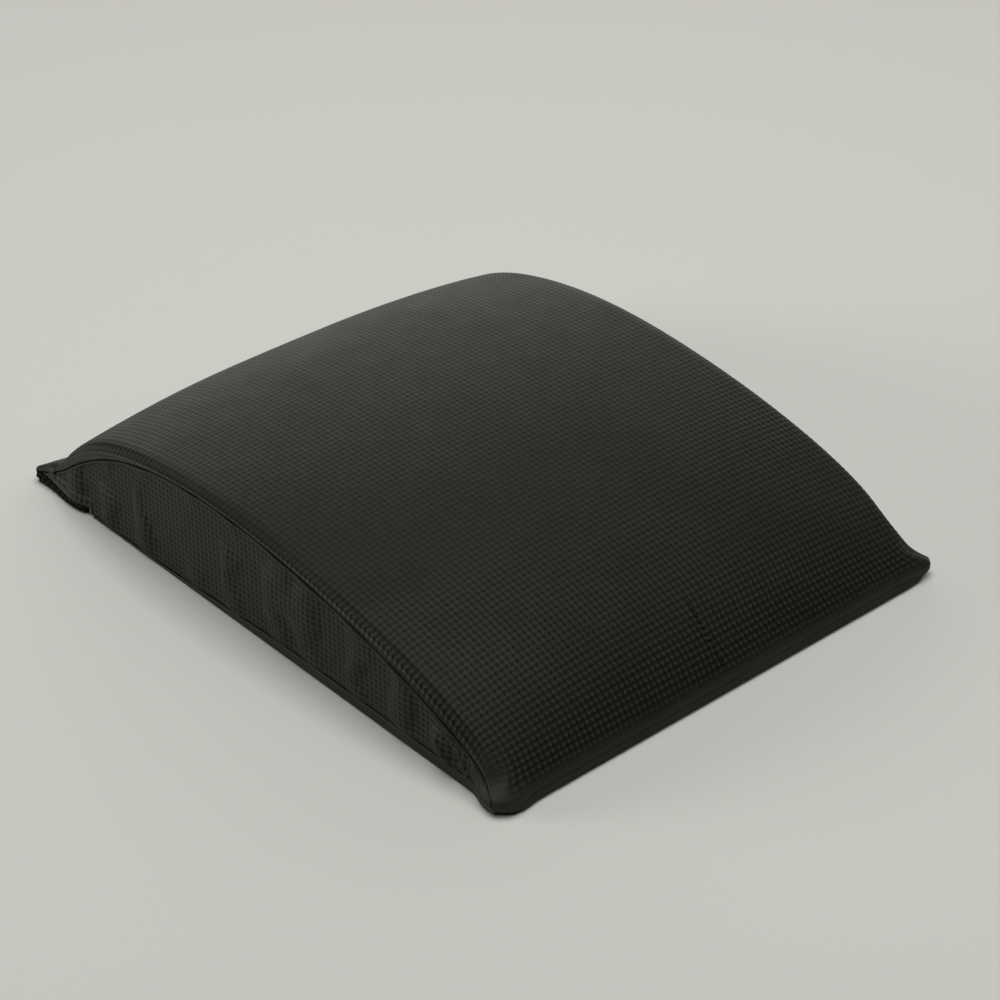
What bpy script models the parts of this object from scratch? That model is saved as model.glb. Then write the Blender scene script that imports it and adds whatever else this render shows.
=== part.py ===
"""Padded sit-up mat: a moulded foam wedge in a sewn vinyl cover that opens with a zip at the rear.

The frame: X across, +Y to the rear, +Z up. The origin is on the floor under the middle of the
padded form, and the base lies on z = 0. Lengths are in metres.
"""

import math

import bmesh
import bpy
import numpy as np

# Padded form, measured on the outer face of the cover
LENGTH = 0.380
WIDTH = 0.298
HEM_HEIGHT = 0.0075
CROWN_RISE = 0.0629
SHOULDER_WIDTH = 0.009
FRONT_CORNER_RADIUS = 0.006
EAR_REACH = 0.002
EAR_SPREAD = 0.013

# The middle line steers through these shares of the crown's rise, front to rear
CROWN_SHARES = (0.44, 1.15, 1.09, 0.785)
# The side seams stand at these shares of the middle line, front to rear
SEAM_SHARES = (0.35, 0.98, 0.64, 1.38, 0.22)
SHOULDER_SHARE = 0.45
CROSS_POWER = 2.6
END_ROLL_POWER = 8.7
END_ROLL_ROOT = 1.2

# Sheets and the gaps between pieces
VINYL = 0.0012
CLEARANCE = 0.0003
SEAM_GAP = 0.00045
FOAM_SLACK = 0.0006
FOAM_EDGE = 0.006
FOAM_REAR_EDGE = 0.015
FOAM_REAR_RUN = 0.030

# Rear end: the top panel stops short, and a placket carries on over the zip
REAR_SEAM_INSET = 0.007
LIP_OVERHANG = 0.0038
LIP_DEPTH = 0.0048
LIP_THICKNESS = 0.0011
LIP_DROOP = 0.0003

# Base panel with its turned-up rim
FRONT_RIM = 0.0040
SIDE_RIM = 0.0066
REAR_RIM = 0.0016
RIM_RUN = 0.150
RIM_REAR_END = 0.105
RIM_CORNER_RUN = 0.014
RIM_FOLD_RADIUS = 0.0009

# Gussets: soft upright folds stand out from the flat panel
FOLD_HEIGHT = 0.0011
GUSSET_REAR_REACH = 0.001
FOLD_SHARES = (0.035, 0.12, 0.2, 0.29, 0.385, 0.46, 0.56, 0.65, 0.76, 0.85, 0.93)
FOLD_SPREAD_SHARE = 0.022

# Zip: chain of two rows of teeth on two tapes, round both rear corners
ZIP_REACH = 0.0042
ZIP_CORNER_RADIUS = 0.0055
ZIP_SIDE_RUN = 0.037
ZIP_REAR_HEIGHT = 0.0050
ZIP_SIDE_HEIGHT = 0.0027
ZIP_DROP_RUN = 0.016
TOOTH_ROW = 0.0015
TOOTH_DEPTH = 0.0014
TOOTH_PITCH = 0.0030
TOOTH_VALLEY_SHARE = 0.5
CHAIN_SLIT = 0.0008
TAPE_THICKNESS = 0.0005
TAPE_LAP = 0.0006
TAPE_FOOT = 0.0004
STOP_LENGTH = 0.0022
STOP_ROOM = 0.0036
STOP_THICKNESS = 0.0004

# Slider: front and back plates joined by a web through the slit of the chain
SLIDER_LENGTH = 0.0080
SLIDER_NOSE_SHARE = 0.8
SLIDER_NOSE_RUN_SHARE = 0.2
SLIDER_NOSE_FLANGE_SHARE = 0.1
SLIDER_HALF_HEIGHT = 0.0027
SLIDER_PLATE = 0.0008
SLIDER_WEB = 0.0003
SLIDER_FLANGE = 0.0005
SLIDER_TRAVEL = 0.230
BAIL_LENGTH = 0.0062
BAIL_WIDTH = 0.0012
BAIL_WIRE = 0.0006
BAIL_SINK = 0.0004

# Pull tab: a crossbar under the bail, two arms and a flat tab
PULL_BAR = 0.0008
PULL_WINDOW = 0.0036
PULL_ARM = 0.0008
PULL_LENGTH = 0.0165
PULL_TAB_WIDTH = 0.0046
PULL_TIP_RADIUS = 0.0014

# Mesh density
COVER_ROWS = 25
SHOULDER_STEPS = 4
CROWN_STEPS = 5
FOAM_EDGE_STEPS = 4
GUSSET_ROWS = 64
GUSSET_STEPS = 3
OUTLINE_STEPS = 24
ARC_STEPS = 6

# Places worked out from the sizes above
HALF_LENGTH = LENGTH / 2
HALF_WIDTH = WIDTH / 2
TOP_REAR = HALF_LENGTH - REAR_SEAM_INSET
ZIP_BACK = HALF_LENGTH + ZIP_REACH
TAPE_FACE = max(TOOTH_DEPTH, VINYL) + CLEARANCE
TAPE_BACK = TAPE_FACE + TAPE_THICKNESS
BASE_INSET = TAPE_BACK + CLEARANCE
LIP_UNDERSIDE = ZIP_REAR_HEIGHT + SLIDER_HALF_HEIGHT + CLEARANCE
TAPE_TOP = LIP_UNDERSIDE + TAPE_LAP
CHAIN_HALF = CHAIN_SLIT / 2 + TOOTH_ROW
ZIP_FRONT = ZIP_BACK - ZIP_CORNER_RADIUS - ZIP_SIDE_RUN
ZIP_TURN = ZIP_CORNER_RADIUS * math.pi / 2
ZIP_LENGTH = 2 * (ZIP_SIDE_RUN + ZIP_TURN + HALF_WIDTH - ZIP_CORNER_RADIUS)
FOAM_FLOOR = VINYL + CLEARANCE
FOAM_SIDE = VINYL + FOAM_SLACK


def smooth(v):
    """0 below 0, 1 above 1, and a soft S between them."""
    v = np.clip(v, 0, 1)
    return v * v * (3 - 2 * v)


def steered(shares, t):
    """Bernstein sum: a smooth line over t from 0 to 1, pulled towards each share in turn."""
    last = len(shares) - 1
    terms = [math.comb(last, k) * t**k * (1 - t) ** (last - k) * share for k, share in enumerate(shares)]
    return sum(terms)


def crown_height(y):
    """Height of the middle line: a gentle arch that rolls down to the hem at both ends."""
    s = np.clip(y / HALF_LENGTH, -1, 1)
    end_roll = (1 - np.abs(s) ** END_ROLL_POWER) ** (1 / END_ROLL_ROOT)
    return HEM_HEIGHT + CROWN_RISE * steered(CROWN_SHARES, (s + 1) / 2) * end_roll


def seam_height(y):
    """Height of the side seam, as a share of the middle line that fades towards both ends."""
    s = np.clip(y / HALF_LENGTH, -1, 1)
    return HEM_HEIGHT + (crown_height(y) - HEM_HEIGHT) * steered(SEAM_SHARES, (s + 1) / 2)


def cover_height(across, y):
    """Height at a share of the half width: a crown that curves down, then a round shoulder."""
    turn = np.clip((across - 1) * HALF_WIDTH / SHOULDER_WIDTH + 1, 0, 1)
    shoulder = np.sqrt(1 - turn**2)
    crown = 1 - across**CROSS_POWER
    rise = SHOULDER_SHARE * shoulder + (1 - SHOULDER_SHARE) * crown
    low = seam_height(y)
    return low + (crown_height(y) - low) * rise


def shaped_plan(points):
    """Rounds the two front corners in plan and draws each out into a small sewn ear."""
    out = np.array(points, float)
    side = np.sign(out[..., 0])
    x = np.abs(out[..., 0])
    y = -out[..., 1]
    r = FRONT_CORNER_RADIUS
    a = np.clip((x - (HALF_WIDTH - r)) / r, 0, 1)
    b = np.clip((y - (HALF_LENGTH - r)) / r, 0, 1)
    x = x - r * a * (1 - np.sqrt(1 - b**2 / 2))
    y = y - r * b * (1 - np.sqrt(1 - a**2 / 2))
    away = ((x - HALF_WIDTH) ** 2 + (y - HALF_LENGTH) ** 2) / EAR_SPREAD**2
    ear = EAR_REACH * math.sqrt(0.5) * np.exp(-away)
    out[..., 0] = side * (x + ear)
    out[..., 1] = -(y + ear)
    return out


def outward(grid):
    """Unit normals of a grid of points, from the two directions in which it runs."""
    along = np.gradient(grid, axis=0)
    across = np.gradient(grid, axis=1)
    normal = np.cross(across, along)
    return normal / np.linalg.norm(normal, axis=2, keepdims=True)


def material(name, colour, roughness, metallic=0.0):
    found = bpy.data.materials.get(name)
    if found:
        return found
    made = bpy.data.materials.new(name)
    made.use_nodes = True
    shader = made.node_tree.nodes["Principled BSDF"]
    shader.inputs["Base Color"].default_value = (*colour, 1)
    shader.inputs["Roughness"].default_value = roughness
    shader.inputs["Metallic"].default_value = metallic
    return made


def new_object(name, vertices, faces, look, recalculate=True):
    """An object from points and faces, with its faces turned outwards and smooth shading."""
    mesh = bpy.data.meshes.new(name)
    mesh.from_pydata([tuple(v) for v in vertices], [], faces)
    if recalculate:
        bm = bmesh.new()
        bm.from_mesh(mesh)
        bmesh.ops.recalc_face_normals(bm, faces=bm.faces)
        bm.to_mesh(mesh)
        bm.free()
    mesh.materials.append(look)
    mesh.shade_smooth()
    mesh.set_sharp_from_angle(angle=math.radians(40))
    piece = bpy.data.objects.new(name, mesh)
    bpy.context.scene.collection.objects.link(piece)
    return piece


def sheet(name, grid, look, mirrored=False):
    """A panel: a grid of points on its outer face, thickened inwards by one layer of vinyl."""
    rows, columns = grid.shape[:2]
    index = np.arange(rows * columns).reshape(rows, columns)
    corners = [index[:-1, :-1], index[:-1, 1:], index[1:, 1:], index[1:, :-1]]
    faces = np.stack([c.ravel() for c in corners], axis=1)
    if mirrored:
        faces = faces[:, ::-1]
    piece = new_object(name, grid.reshape(-1, 3), faces.tolist(), look, recalculate=False)
    wall = piece.modifiers.new("wall", "SOLIDIFY")
    wall.thickness = VINYL
    wall.offset = -1
    wall.use_rim = True
    return piece


def loft(name, rings, look):
    """A closed solid carried through rings of points, with a flat cap at each end."""
    rings = np.asarray(rings)
    count, size = rings.shape[:2]
    faces = [list(range(size)), [(count - 1) * size + k for k in range(size)]]
    for ring in range(count - 1):
        for k in range(size):
            nxt = (k + 1) % size
            low, high = ring * size, (ring + 1) * size
            faces.append([low + k, low + nxt, high + nxt, high + k])
    return new_object(name, rings.reshape(-1, 3), faces, look)


def cover_stations(front, rear, count):
    """Places along Y, closer together where the form rolls down at its ends."""
    angles = np.linspace(math.asin(front / HALF_LENGTH), math.asin(rear / HALF_LENGTH), count + 1)
    return HALF_LENGTH * np.sin(angles)


def cross_shares():
    """Shares of the half width from the left seam to the right one, even steps round each shoulder."""
    edge = 1 - SHOULDER_WIDTH / HALF_WIDTH
    turn = np.linspace(0, math.pi / 2, SHOULDER_STEPS + 1)
    shoulder = edge + (1 - edge) * np.cos(turn)
    crown = np.linspace(edge, 0, CROWN_STEPS + 1)[1:]
    half = np.concatenate([shoulder, crown])
    return np.concatenate([-half, half[-2::-1]])


def cover_grid(stations):
    """Outer face of the cover over the crown: rows along Y, columns from the left seam to the right."""
    across, y = np.meshgrid(cross_shares(), stations)
    height = cover_height(np.abs(across), y)
    return np.stack([across * HALF_WIDTH, y, height], axis=2)


def rim_height(y):
    """Height of the base panel's turned-up rim along a side."""
    grown = REAR_RIM + (SIDE_RIM - REAR_RIM) * smooth((RIM_REAR_END - y) / RIM_RUN)
    corner = smooth((y + HALF_LENGTH) / RIM_CORNER_RUN)
    return FRONT_RIM + (grown - FRONT_RIM) * corner


def zip_height(y):
    """Height of the chain's middle on the side: low at its ends, higher at the rear corner."""
    climb = smooth((y - (ZIP_BACK - ZIP_CORNER_RADIUS - ZIP_DROP_RUN)) / ZIP_DROP_RUN)
    return ZIP_SIDE_HEIGHT + (ZIP_REAR_HEIGHT - ZIP_SIDE_HEIGHT) * climb


def placket_line(y, start, end):
    """Heights on the straight line from the top panel's rear seam to the lip."""
    share = (y - (TOP_REAR + SEAM_GAP)) / (ZIP_BACK + LIP_OVERHANG - TOP_REAR - SEAM_GAP)
    return start + (end - start) * share


def make_foam(look):
    """Moulded body: the crown drawn in by the cover's thickness, its lower edges well rounded."""
    grid = cover_grid(cover_stations(-HALF_LENGTH, TOP_REAR, COVER_ROWS))
    top = grid - FOAM_SIDE * outward(grid)
    top[..., 1] = np.maximum(top[..., 1], FOAM_SIDE - HALF_LENGTH + CLEARANCE)
    turns = np.linspace(0, math.pi / 2, FOAM_EDGE_STEPS + 1)
    rings = []
    for row in top:
        left, right = row[0], row[-1]
        near_zip = smooth((left[1] - ZIP_FRONT) / FOAM_REAR_RUN + 1)
        edge = FOAM_EDGE + (FOAM_REAR_EDGE - FOAM_EDGE) * near_zip
        rise = min(edge, left[2] - FOAM_FLOOR - CLEARANCE)
        rises = FOAM_FLOOR + rise * (1 - np.sin(turns))
        draws = edge * (1 - np.cos(turns))
        right_side = [(right[0] - draw, right[1], rise) for draw, rise in zip(draws, rises)]
        left_side = [(left[0] + draw, left[1], rise) for draw, rise in zip(draws, rises)]
        rings.append(list(row) + right_side + left_side[::-1])
    rings = np.array(rings)
    rings[0, :, 1] = FOAM_SIDE - HALF_LENGTH
    rings[-1, :, 1] = rings[-1, :, 1].min()
    return loft("foam_core", rings, look)


def make_top_panel(look):
    """One sheet over the crown, rolled down over both shoulders and down the front to the base's rim."""
    grid = cover_grid(cover_stations(-HALF_LENGTH, TOP_REAR, COVER_ROWS))
    low = FRONT_RIM + SEAM_GAP
    band = np.repeat(grid[:1], 2, axis=0)
    band[0, :, 2] = low
    band[1, :, 2] = low + (HEM_HEIGHT - low) / 2
    return sheet("top_panel", shaped_plan(np.concatenate([band, grid])), look)


def fold_bulge(share):
    """How far the gusset stands out at a share of its length, 0 to 1, from its row of soft folds."""
    rows = [np.exp(-(((share - place) / FOLD_SPREAD_SHARE) ** 2)) for place in FOLD_SHARES]
    return np.clip(sum(rows), 0, 1)


def make_gusset(name, side, look):
    """Side panel: from the base's rim or the zip up to the seam, with soft folds in its middle."""
    front = -HALF_LENGTH + VINYL + SEAM_GAP
    rear = HALF_LENGTH + GUSSET_REAR_REACH
    share = np.linspace(0, 1, GUSSET_ROWS + 1)
    y = front + (rear - front) * share
    zip_top = zip_height(y) + CHAIN_HALF
    in_zip = smooth((y - ZIP_FRONT) / VINYL + 1)
    low = rim_height(y) + (zip_top - rim_height(y)) * in_zip + SEAM_GAP
    corner = seam_height(TOP_REAR + SEAM_GAP)
    under = placket_line(y, corner, LIP_UNDERSIDE + LIP_THICKNESS) - VINYL - SEAM_GAP
    high = np.where(y < TOP_REAR - VINYL, seam_height(y) - SEAM_GAP, np.minimum(under, seam_height(y)))
    high = np.maximum(high, low + VINYL / 2)
    up = np.linspace(0, 1, GUSSET_STEPS + 1)
    height = low[:, None] + (high - low)[:, None] * up
    out = FOLD_HEIGHT * fold_bulge(share)[:, None] * np.sin(math.pi * up) * smooth(share * 8)[:, None]
    grid = np.stack([side * (HALF_WIDTH + out), np.repeat(y[:, None], len(up), 1), height], axis=2)
    return sheet(name, shaped_plan(grid), look, mirrored=side < 0)


def base_outline():
    """Plan of the base panel, once round from the middle of the front, with each point's rim height."""
    half, rear = HALF_WIDTH - BASE_INSET, ZIP_BACK - BASE_INSET
    r = ZIP_CORNER_RADIUS - BASE_INSET
    step_in = ZIP_FRONT - VINYL * np.array([2, 1.5, 1])
    shares = 1 - np.cos(np.linspace(0, math.pi / 2, OUTLINE_STEPS))
    y_side = -HALF_LENGTH + (step_in[0] + HALF_LENGTH) * shares
    y_side = np.concatenate([y_side, step_in[1:], np.linspace(step_in[-1], rear - r, ARC_STEPS)[1:]])
    inset = BASE_INSET * smooth((y_side - ZIP_FRONT) / VINYL + 2)
    turn = np.linspace(0, math.pi / 2, ARC_STEPS + 1)[1:]
    arc = np.stack([half - r + r * np.cos(turn), rear - r + r * np.sin(turn)], axis=1)
    right = np.concatenate([np.stack([HALF_WIDTH - inset, y_side], axis=1), arc])
    left = right[::-1] * (-1, 1)
    across = np.linspace(half - r, r - half, OUTLINE_STEPS)[1:-1]
    back = np.stack([across, np.full(len(across), rear)], axis=1)
    across = np.linspace(-HALF_WIDTH, HALF_WIDTH, OUTLINE_STEPS)[1:-1]
    front = np.stack([across, np.full(len(across), -HALF_LENGTH)], axis=1)
    plan = np.concatenate([front, right, back, left])
    on_front = plan[:, 1] <= -HALF_LENGTH
    rim = np.where(on_front, FRONT_RIM, rim_height(plan[:, 1]))
    return plan, rim


def make_base(look):
    """Bottom sheet on the floor, folded up round its edge into a rim of changing height."""
    plan, rim = base_outline()
    flat = np.column_stack([plan, np.zeros(len(plan))])

    def ring(inset, height):
        edge = np.array(flat)
        edge[:, 0] -= np.sign(edge[:, 0]) * np.minimum(inset, np.abs(edge[:, 0]))
        edge[:, 1] -= np.sign(edge[:, 1]) * np.minimum(inset, np.abs(edge[:, 1]))
        edge = shaped_plan(edge)
        edge[:, 2] = height
        return edge

    fold = RIM_FOLD_RADIUS
    rings = [
        ring(fold, 0),
        ring(0, fold),
        ring(0, rim),
        ring(VINYL, rim),
        ring(VINYL, VINYL + (rim - VINYL) / 4),
        ring(VINYL + fold, VINYL),
    ]
    count = len(plan)
    points = np.concatenate([*rings, [[0, 0, 0]], [[0, 0, VINYL]]])
    bottom, top = len(points) - 2, len(points) - 1
    last = (len(rings) - 1) * count
    faces = []
    for k in range(count):
        nxt = (k + 1) % count
        faces.append([bottom, nxt, k])
        faces.append([top, last + k, last + nxt])
        for level in range(len(rings) - 1):
            low, high = level * count, (level + 1) * count
            faces.append([low + k, low + nxt, high + nxt, high + k])
    return new_object("base_panel", points, faces, look)


def make_placket(look):
    """Strip from the top panel's rear seam down to a folded lip that stands out over the zip."""
    x = cross_shares() * HALF_WIDTH
    start_y = TOP_REAR + SEAM_GAP
    tip_y = ZIP_BACK + LIP_OVERHANG
    fold_y = tip_y - LIP_DEPTH
    seam = cover_height(np.abs(cross_shares()), np.full(len(x), start_y))
    tip = LIP_UNDERSIDE + LIP_DROOP + LIP_THICKNESS
    fold_top = LIP_UNDERSIDE + LIP_THICKNESS
    rings = []
    for place, height in zip(x, seam):
        slope = math.atan2(height - tip, tip_y - start_y)
        thick = VINYL / math.cos(slope)
        inner_tip = fold_top + CLEARANCE * math.sin(slope)
        middle = (start_y + tip_y) / 2
        belly = CLEARANCE * math.cos(slope)
        rings.append(
            [
                (place, start_y, height),
                (place, middle, (height + tip) / 2 + belly),
                (place, tip_y, tip),
                (place, tip_y, tip - LIP_THICKNESS),
                (place, fold_y, LIP_UNDERSIDE),
                (place, fold_y, inner_tip),
                (place, start_y, height - thick),
            ]
        )
    return loft("rear_placket", rings, look)


def zip_path(s):
    """Places at arc lengths along the chain, left end to right: (x, y) and the outward normal."""
    half = np.minimum(s, ZIP_LENGTH - s)
    angle = np.clip((half - ZIP_SIDE_RUN) / ZIP_CORNER_RADIUS, 0, math.pi / 2)
    bend_x = -HALF_WIDTH + ZIP_CORNER_RADIUS
    bend_y = ZIP_BACK - ZIP_CORNER_RADIUS
    before = np.minimum(half - ZIP_SIDE_RUN, 0)
    beyond = np.maximum(half - ZIP_SIDE_RUN - ZIP_TURN, 0)
    flip = np.where(s > ZIP_LENGTH / 2, -1, 1)
    x = bend_x - ZIP_CORNER_RADIUS * np.cos(angle) + beyond
    y = bend_y + ZIP_CORNER_RADIUS * np.sin(angle) + before
    return np.stack([x * flip, y], axis=1), np.stack([-np.cos(angle) * flip, np.sin(angle)], axis=1)


def tape_stations():
    """Arc lengths for a tape: close together round the corners and where the chain drops."""
    ends = np.linspace(0, ZIP_SIDE_RUN, ARC_STEPS + 1)[:-1]
    arc = ZIP_SIDE_RUN + np.linspace(0, ZIP_TURN, ARC_STEPS + 1)
    half = np.concatenate([ends, arc])
    middle = np.linspace(half[-1], ZIP_LENGTH - half[-1], ARC_STEPS)[1:-1]
    return np.concatenate([half, middle, ZIP_LENGTH - half[::-1]])


def along_zip(plan, normal, depth, height):
    """Points at a depth behind the zip's face, at a height above the floor."""
    place = plan - normal * np.reshape(depth, (-1, 1))
    return np.column_stack([place, np.broadcast_to(height, len(plan))])


def make_tape(name, bottom, top, look):
    """A woven tape behind one row of teeth: a thin upright band along the whole chain."""
    plan, normal = zip_path(tape_stations())
    middle = zip_height(plan[:, 1])
    low, high = bottom(middle), top(middle)
    edges = [(TAPE_FACE, low), (TAPE_FACE, high), (TAPE_BACK, high), (TAPE_BACK, low)]
    rings = np.stack([along_zip(plan, normal, depth, height) for depth, height in edges], axis=1)
    return loft(name, rings, look)


def make_teeth(name, side, look):
    """One row of teeth: a spine on the tape that swells into a flat-topped tooth at each pitch.

    The two rows are staggered by half a pitch, so that each tooth faces a gap.
    """
    count = int((ZIP_LENGTH - 2 * STOP_ROOM) / TOOTH_PITCH)
    start = (ZIP_LENGTH - count * TOOTH_PITCH) / 2 + side * TOOTH_PITCH / 4
    step = np.arange(count * 3 + 1)
    plan, normal = zip_path(start + step * TOOTH_PITCH / 3)
    tooth = step % 3 != 0
    size = np.where(tooth, 1, TOOTH_VALLEY_SHARE)
    middle = zip_height(plan[:, 1])
    root = middle + side * CHAIN_HALF
    tip = root - side * TOOTH_ROW * size
    face = TOOTH_DEPTH * (1 - size) / 2
    back = TOOTH_DEPTH - face
    edges = [(face, root), (face, tip), (back, tip), (back, root)]
    rings = np.stack([along_zip(plan, normal, depth, height) for depth, height in edges], axis=1)
    return loft(name, rings, look)


def make_stop(name, at_start, low_share, high_share, look):
    """A small metal clamp folded over the chain's end, in front of the teeth's tape."""
    flip = 1 if at_start else -1
    run = np.array([TAPE_LAP / 2, STOP_LENGTH])
    plan = np.stack([np.full(2, -HALF_WIDTH * flip), ZIP_FRONT + run], axis=1)
    normal = np.array([[-1.0, 0], [-1.0, 0]]) * flip
    low = ZIP_SIDE_HEIGHT + CHAIN_HALF * low_share
    high = ZIP_SIDE_HEIGHT + CHAIN_HALF * high_share
    edges = [(TAPE_FACE - CLEARANCE - STOP_THICKNESS * 2, low), (TAPE_FACE - CLEARANCE - STOP_THICKNESS * 2, high)]
    edges += [(TAPE_FACE - CLEARANCE, high), (TAPE_FACE - CLEARANCE, low)]
    rings = np.stack([along_zip(plan, normal, depth, height) for depth, height in edges], axis=1)
    return loft(name, rings, look)


def slider_section(scale, flanged):
    """Outline of the slider across its travel: two flanged plates and the web between them.

    Points are (out, up) from the chain's face and middle. Out is towards the rear.
    """
    top = SLIDER_HALF_HEIGHT * scale
    lip = top - SLIDER_FLANGE
    front_in, front_out = CLEARANCE, CLEARANCE + SLIDER_PLATE
    back_in, back_out = -TAPE_BACK - CLEARANCE, -TAPE_BACK - CLEARANCE - SLIDER_PLATE
    flange = front_in - (front_in + TAPE_FACE - CLEARANCE) * flanged
    web = SLIDER_WEB / 2
    half = [
        (back_out, top),
        (back_in, top),
        (back_in, web),
        (front_in, web),
        (front_in, lip),
        (flange, lip),
        (flange, top),
        (front_out, top),
    ]
    return half + [(out, -up) for out, up in reversed(half)]


def make_slider(look):
    """Slider body on the straight rear run, with the bail for the pull joined to its front plate."""
    nose, tail = -0.5, 0.5
    throat = nose + SLIDER_NOSE_RUN_SHARE
    hint = SLIDER_NOSE_FLANGE_SHARE
    sizes = ((nose, SLIDER_NOSE_SHARE, hint), (throat, 1, hint), (throat + hint, 1, 1), (tail, 1, 1))
    centre = slider_place()
    rings = []
    for share, scale, flanged in sizes:
        x = centre[0] + share * SLIDER_LENGTH
        section = slider_section(scale, flanged)
        rings.append([(x, ZIP_BACK + out, ZIP_REAR_HEIGHT + up) for out, up in section])
    body = loft("zip_slider", rings, look)
    bail = loft("bail_cutter", bail_rings(centre), look)
    bail.hide_render = True
    bail.display_type = "WIRE"
    join = body.modifiers.new("bail", "BOOLEAN")
    join.operation = "UNION"
    join.solver = "EXACT"
    join.object = bail
    return body


def slider_place():
    """Where the slider stands at rest: right of the middle by half its travel."""
    return (SLIDER_TRAVEL / 2, ZIP_BACK, ZIP_REAR_HEIGHT)


def pull_axis_out():
    """How far the pull's crossbar lies behind the chain's face."""
    return CLEARANCE + SLIDER_PLATE + CLEARANCE + PULL_BAR / 2


def bail_rings(centre):
    """The bail: a flat wire arch along the travel, its feet sunk into the front plate."""
    foot = CLEARANCE + SLIDER_PLATE - BAIL_SINK
    under = pull_axis_out() + PULL_BAR / 2 + CLEARANCE
    over = under + BAIL_WIRE
    half = BAIL_LENGTH / 2
    path = [(-half, foot), (-half, over), (half, over), (half, foot)]
    inner = [(-half + BAIL_WIRE, foot), (-half + BAIL_WIRE, under), (half - BAIL_WIRE, under), (half - BAIL_WIRE, foot)]
    rings = []
    for (xo, out), (xi, inn) in zip(path, inner):
        x0, x1 = centre[0] + xo, centre[0] + xi
        y0, y1 = ZIP_BACK + out, ZIP_BACK + inn
        up = BAIL_WIDTH / 2
        z = ZIP_REAR_HEIGHT
        rings.append([(x0, y0, z - up), (x0, y0, z + up), (x1, y1, z + up), (x1, y1, z - up)])
    return rings


def make_pull(look):
    """Flat pull tab with a window; its end bar turns under the bail on an upright axis."""
    bar = PULL_BAR / 2
    arm_in = BAIL_WIDTH / 2 + CLEARANCE
    arm_out = arm_in + PULL_ARM
    half = PULL_TAB_WIDTH / 2
    reach = bar + PULL_WINDOW
    r = PULL_TIP_RADIUS
    turn = np.linspace(0, math.pi / 2, 4)
    tip = [(PULL_LENGTH - r + r * math.sin(a), half - r + r * math.cos(a)) for a in turn]
    outer = [(-bar, arm_out), (reach, arm_out), (reach + PULL_ARM, half), *tip]
    outer = outer + [(x, -z) for x, z in reversed(outer)]
    window = [(bar, arm_in), (reach, arm_in), (reach, -arm_in), (bar, -arm_in)]
    mesh = bmesh.new()
    depth = bar
    rings = []
    for side in (-1, 1):
        rings.append([mesh.verts.new((-x, side * depth, z)) for x, z in outer])
        rings.append([mesh.verts.new((-x, side * depth, z)) for x, z in window])
    for lower, upper in ((rings[0], rings[2]), (rings[1], rings[3])):
        for k in range(len(lower)):
            nxt = (k + 1) % len(lower)
            mesh.faces.new([lower[k], lower[nxt], upper[nxt], upper[k]])
    for plate in (rings[0] + rings[1], rings[2] + rings[3]):
        edges = [e for e in mesh.edges if e.verts[0] in plate and e.verts[1] in plate]
        bmesh.ops.triangle_fill(mesh, edges=edges, use_beauty=True)
    bmesh.ops.recalc_face_normals(mesh, faces=mesh.faces)
    data = bpy.data.meshes.new("zip_pull")
    mesh.to_mesh(data)
    mesh.free()
    data.materials.append(look)
    piece = bpy.data.objects.new("zip_pull", data)
    bpy.context.scene.collection.objects.link(piece)
    piece.location = (slider_place()[0], ZIP_BACK + pull_axis_out(), ZIP_REAR_HEIGHT)
    return piece


def build():
    for old in list(bpy.data.objects):
        bpy.data.objects.remove(old, do_unlink=True)
    vinyl = (0.030, 0.030, 0.026)
    make_foam(material("foam", (0.20, 0.20, 0.21), 0.95))
    make_top_panel(material("top_vinyl", vinyl, 0.42))
    make_gusset("gusset_left", -1, material("gusset_vinyl", vinyl, 0.5))
    make_gusset("gusset_right", 1, material("gusset_vinyl", vinyl, 0.5))
    make_base(material("base_vinyl", vinyl, 0.55))
    make_placket(material("placket_vinyl", vinyl, 0.5))
    tape = material("zip_tape", (0.008, 0.008, 0.008), 0.85)
    slit = CHAIN_SLIT / 2
    make_tape("zip_tape_upper", lambda z: z + slit, lambda z: np.full(len(z), TAPE_TOP), tape)
    make_tape("zip_tape_lower", lambda z: np.full(len(z), TAPE_FOOT), lambda z: z - slit, tape)
    teeth = material("zip_teeth", (0.010, 0.010, 0.011), 0.45)
    make_teeth("zip_teeth_upper", 1, teeth)
    make_teeth("zip_teeth_lower", -1, teeth)
    steel = material("zip_metal", (0.35, 0.35, 0.34), 0.35, 1.0)
    make_stop("zip_bottom_stop", True, -1, 1, steel)
    make_stop("zip_top_stop_lower", False, -1, -CHAIN_SLIT / CHAIN_HALF, steel)
    make_stop("zip_top_stop_upper", False, CHAIN_SLIT / CHAIN_HALF, 1, steel)
    make_slider(material("slider_metal", (0.05, 0.05, 0.05), 0.4, 1.0))
    make_pull(material("pull_metal", (0.05, 0.05, 0.05), 0.4, 1.0))


build()
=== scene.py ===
# %% [markdown]
# # A sit-up mat in a sewn vinyl cover
# The mat is a low foam wedge, arched to fill the hollow of the back, in a tight cover of embossed
# vinyl. The cover is cut from five panels: a top, two side gussets, a base, and a short placket
# that hides a zip at the rear. This lesson dresses the working model of the mat: each panel is a
# surface worked out with numpy from a few sizes, and laid where the working model has it.
#
# X runs across the mat, Y to its high rear end, Z up. Lengths are in metres.

import math

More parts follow.
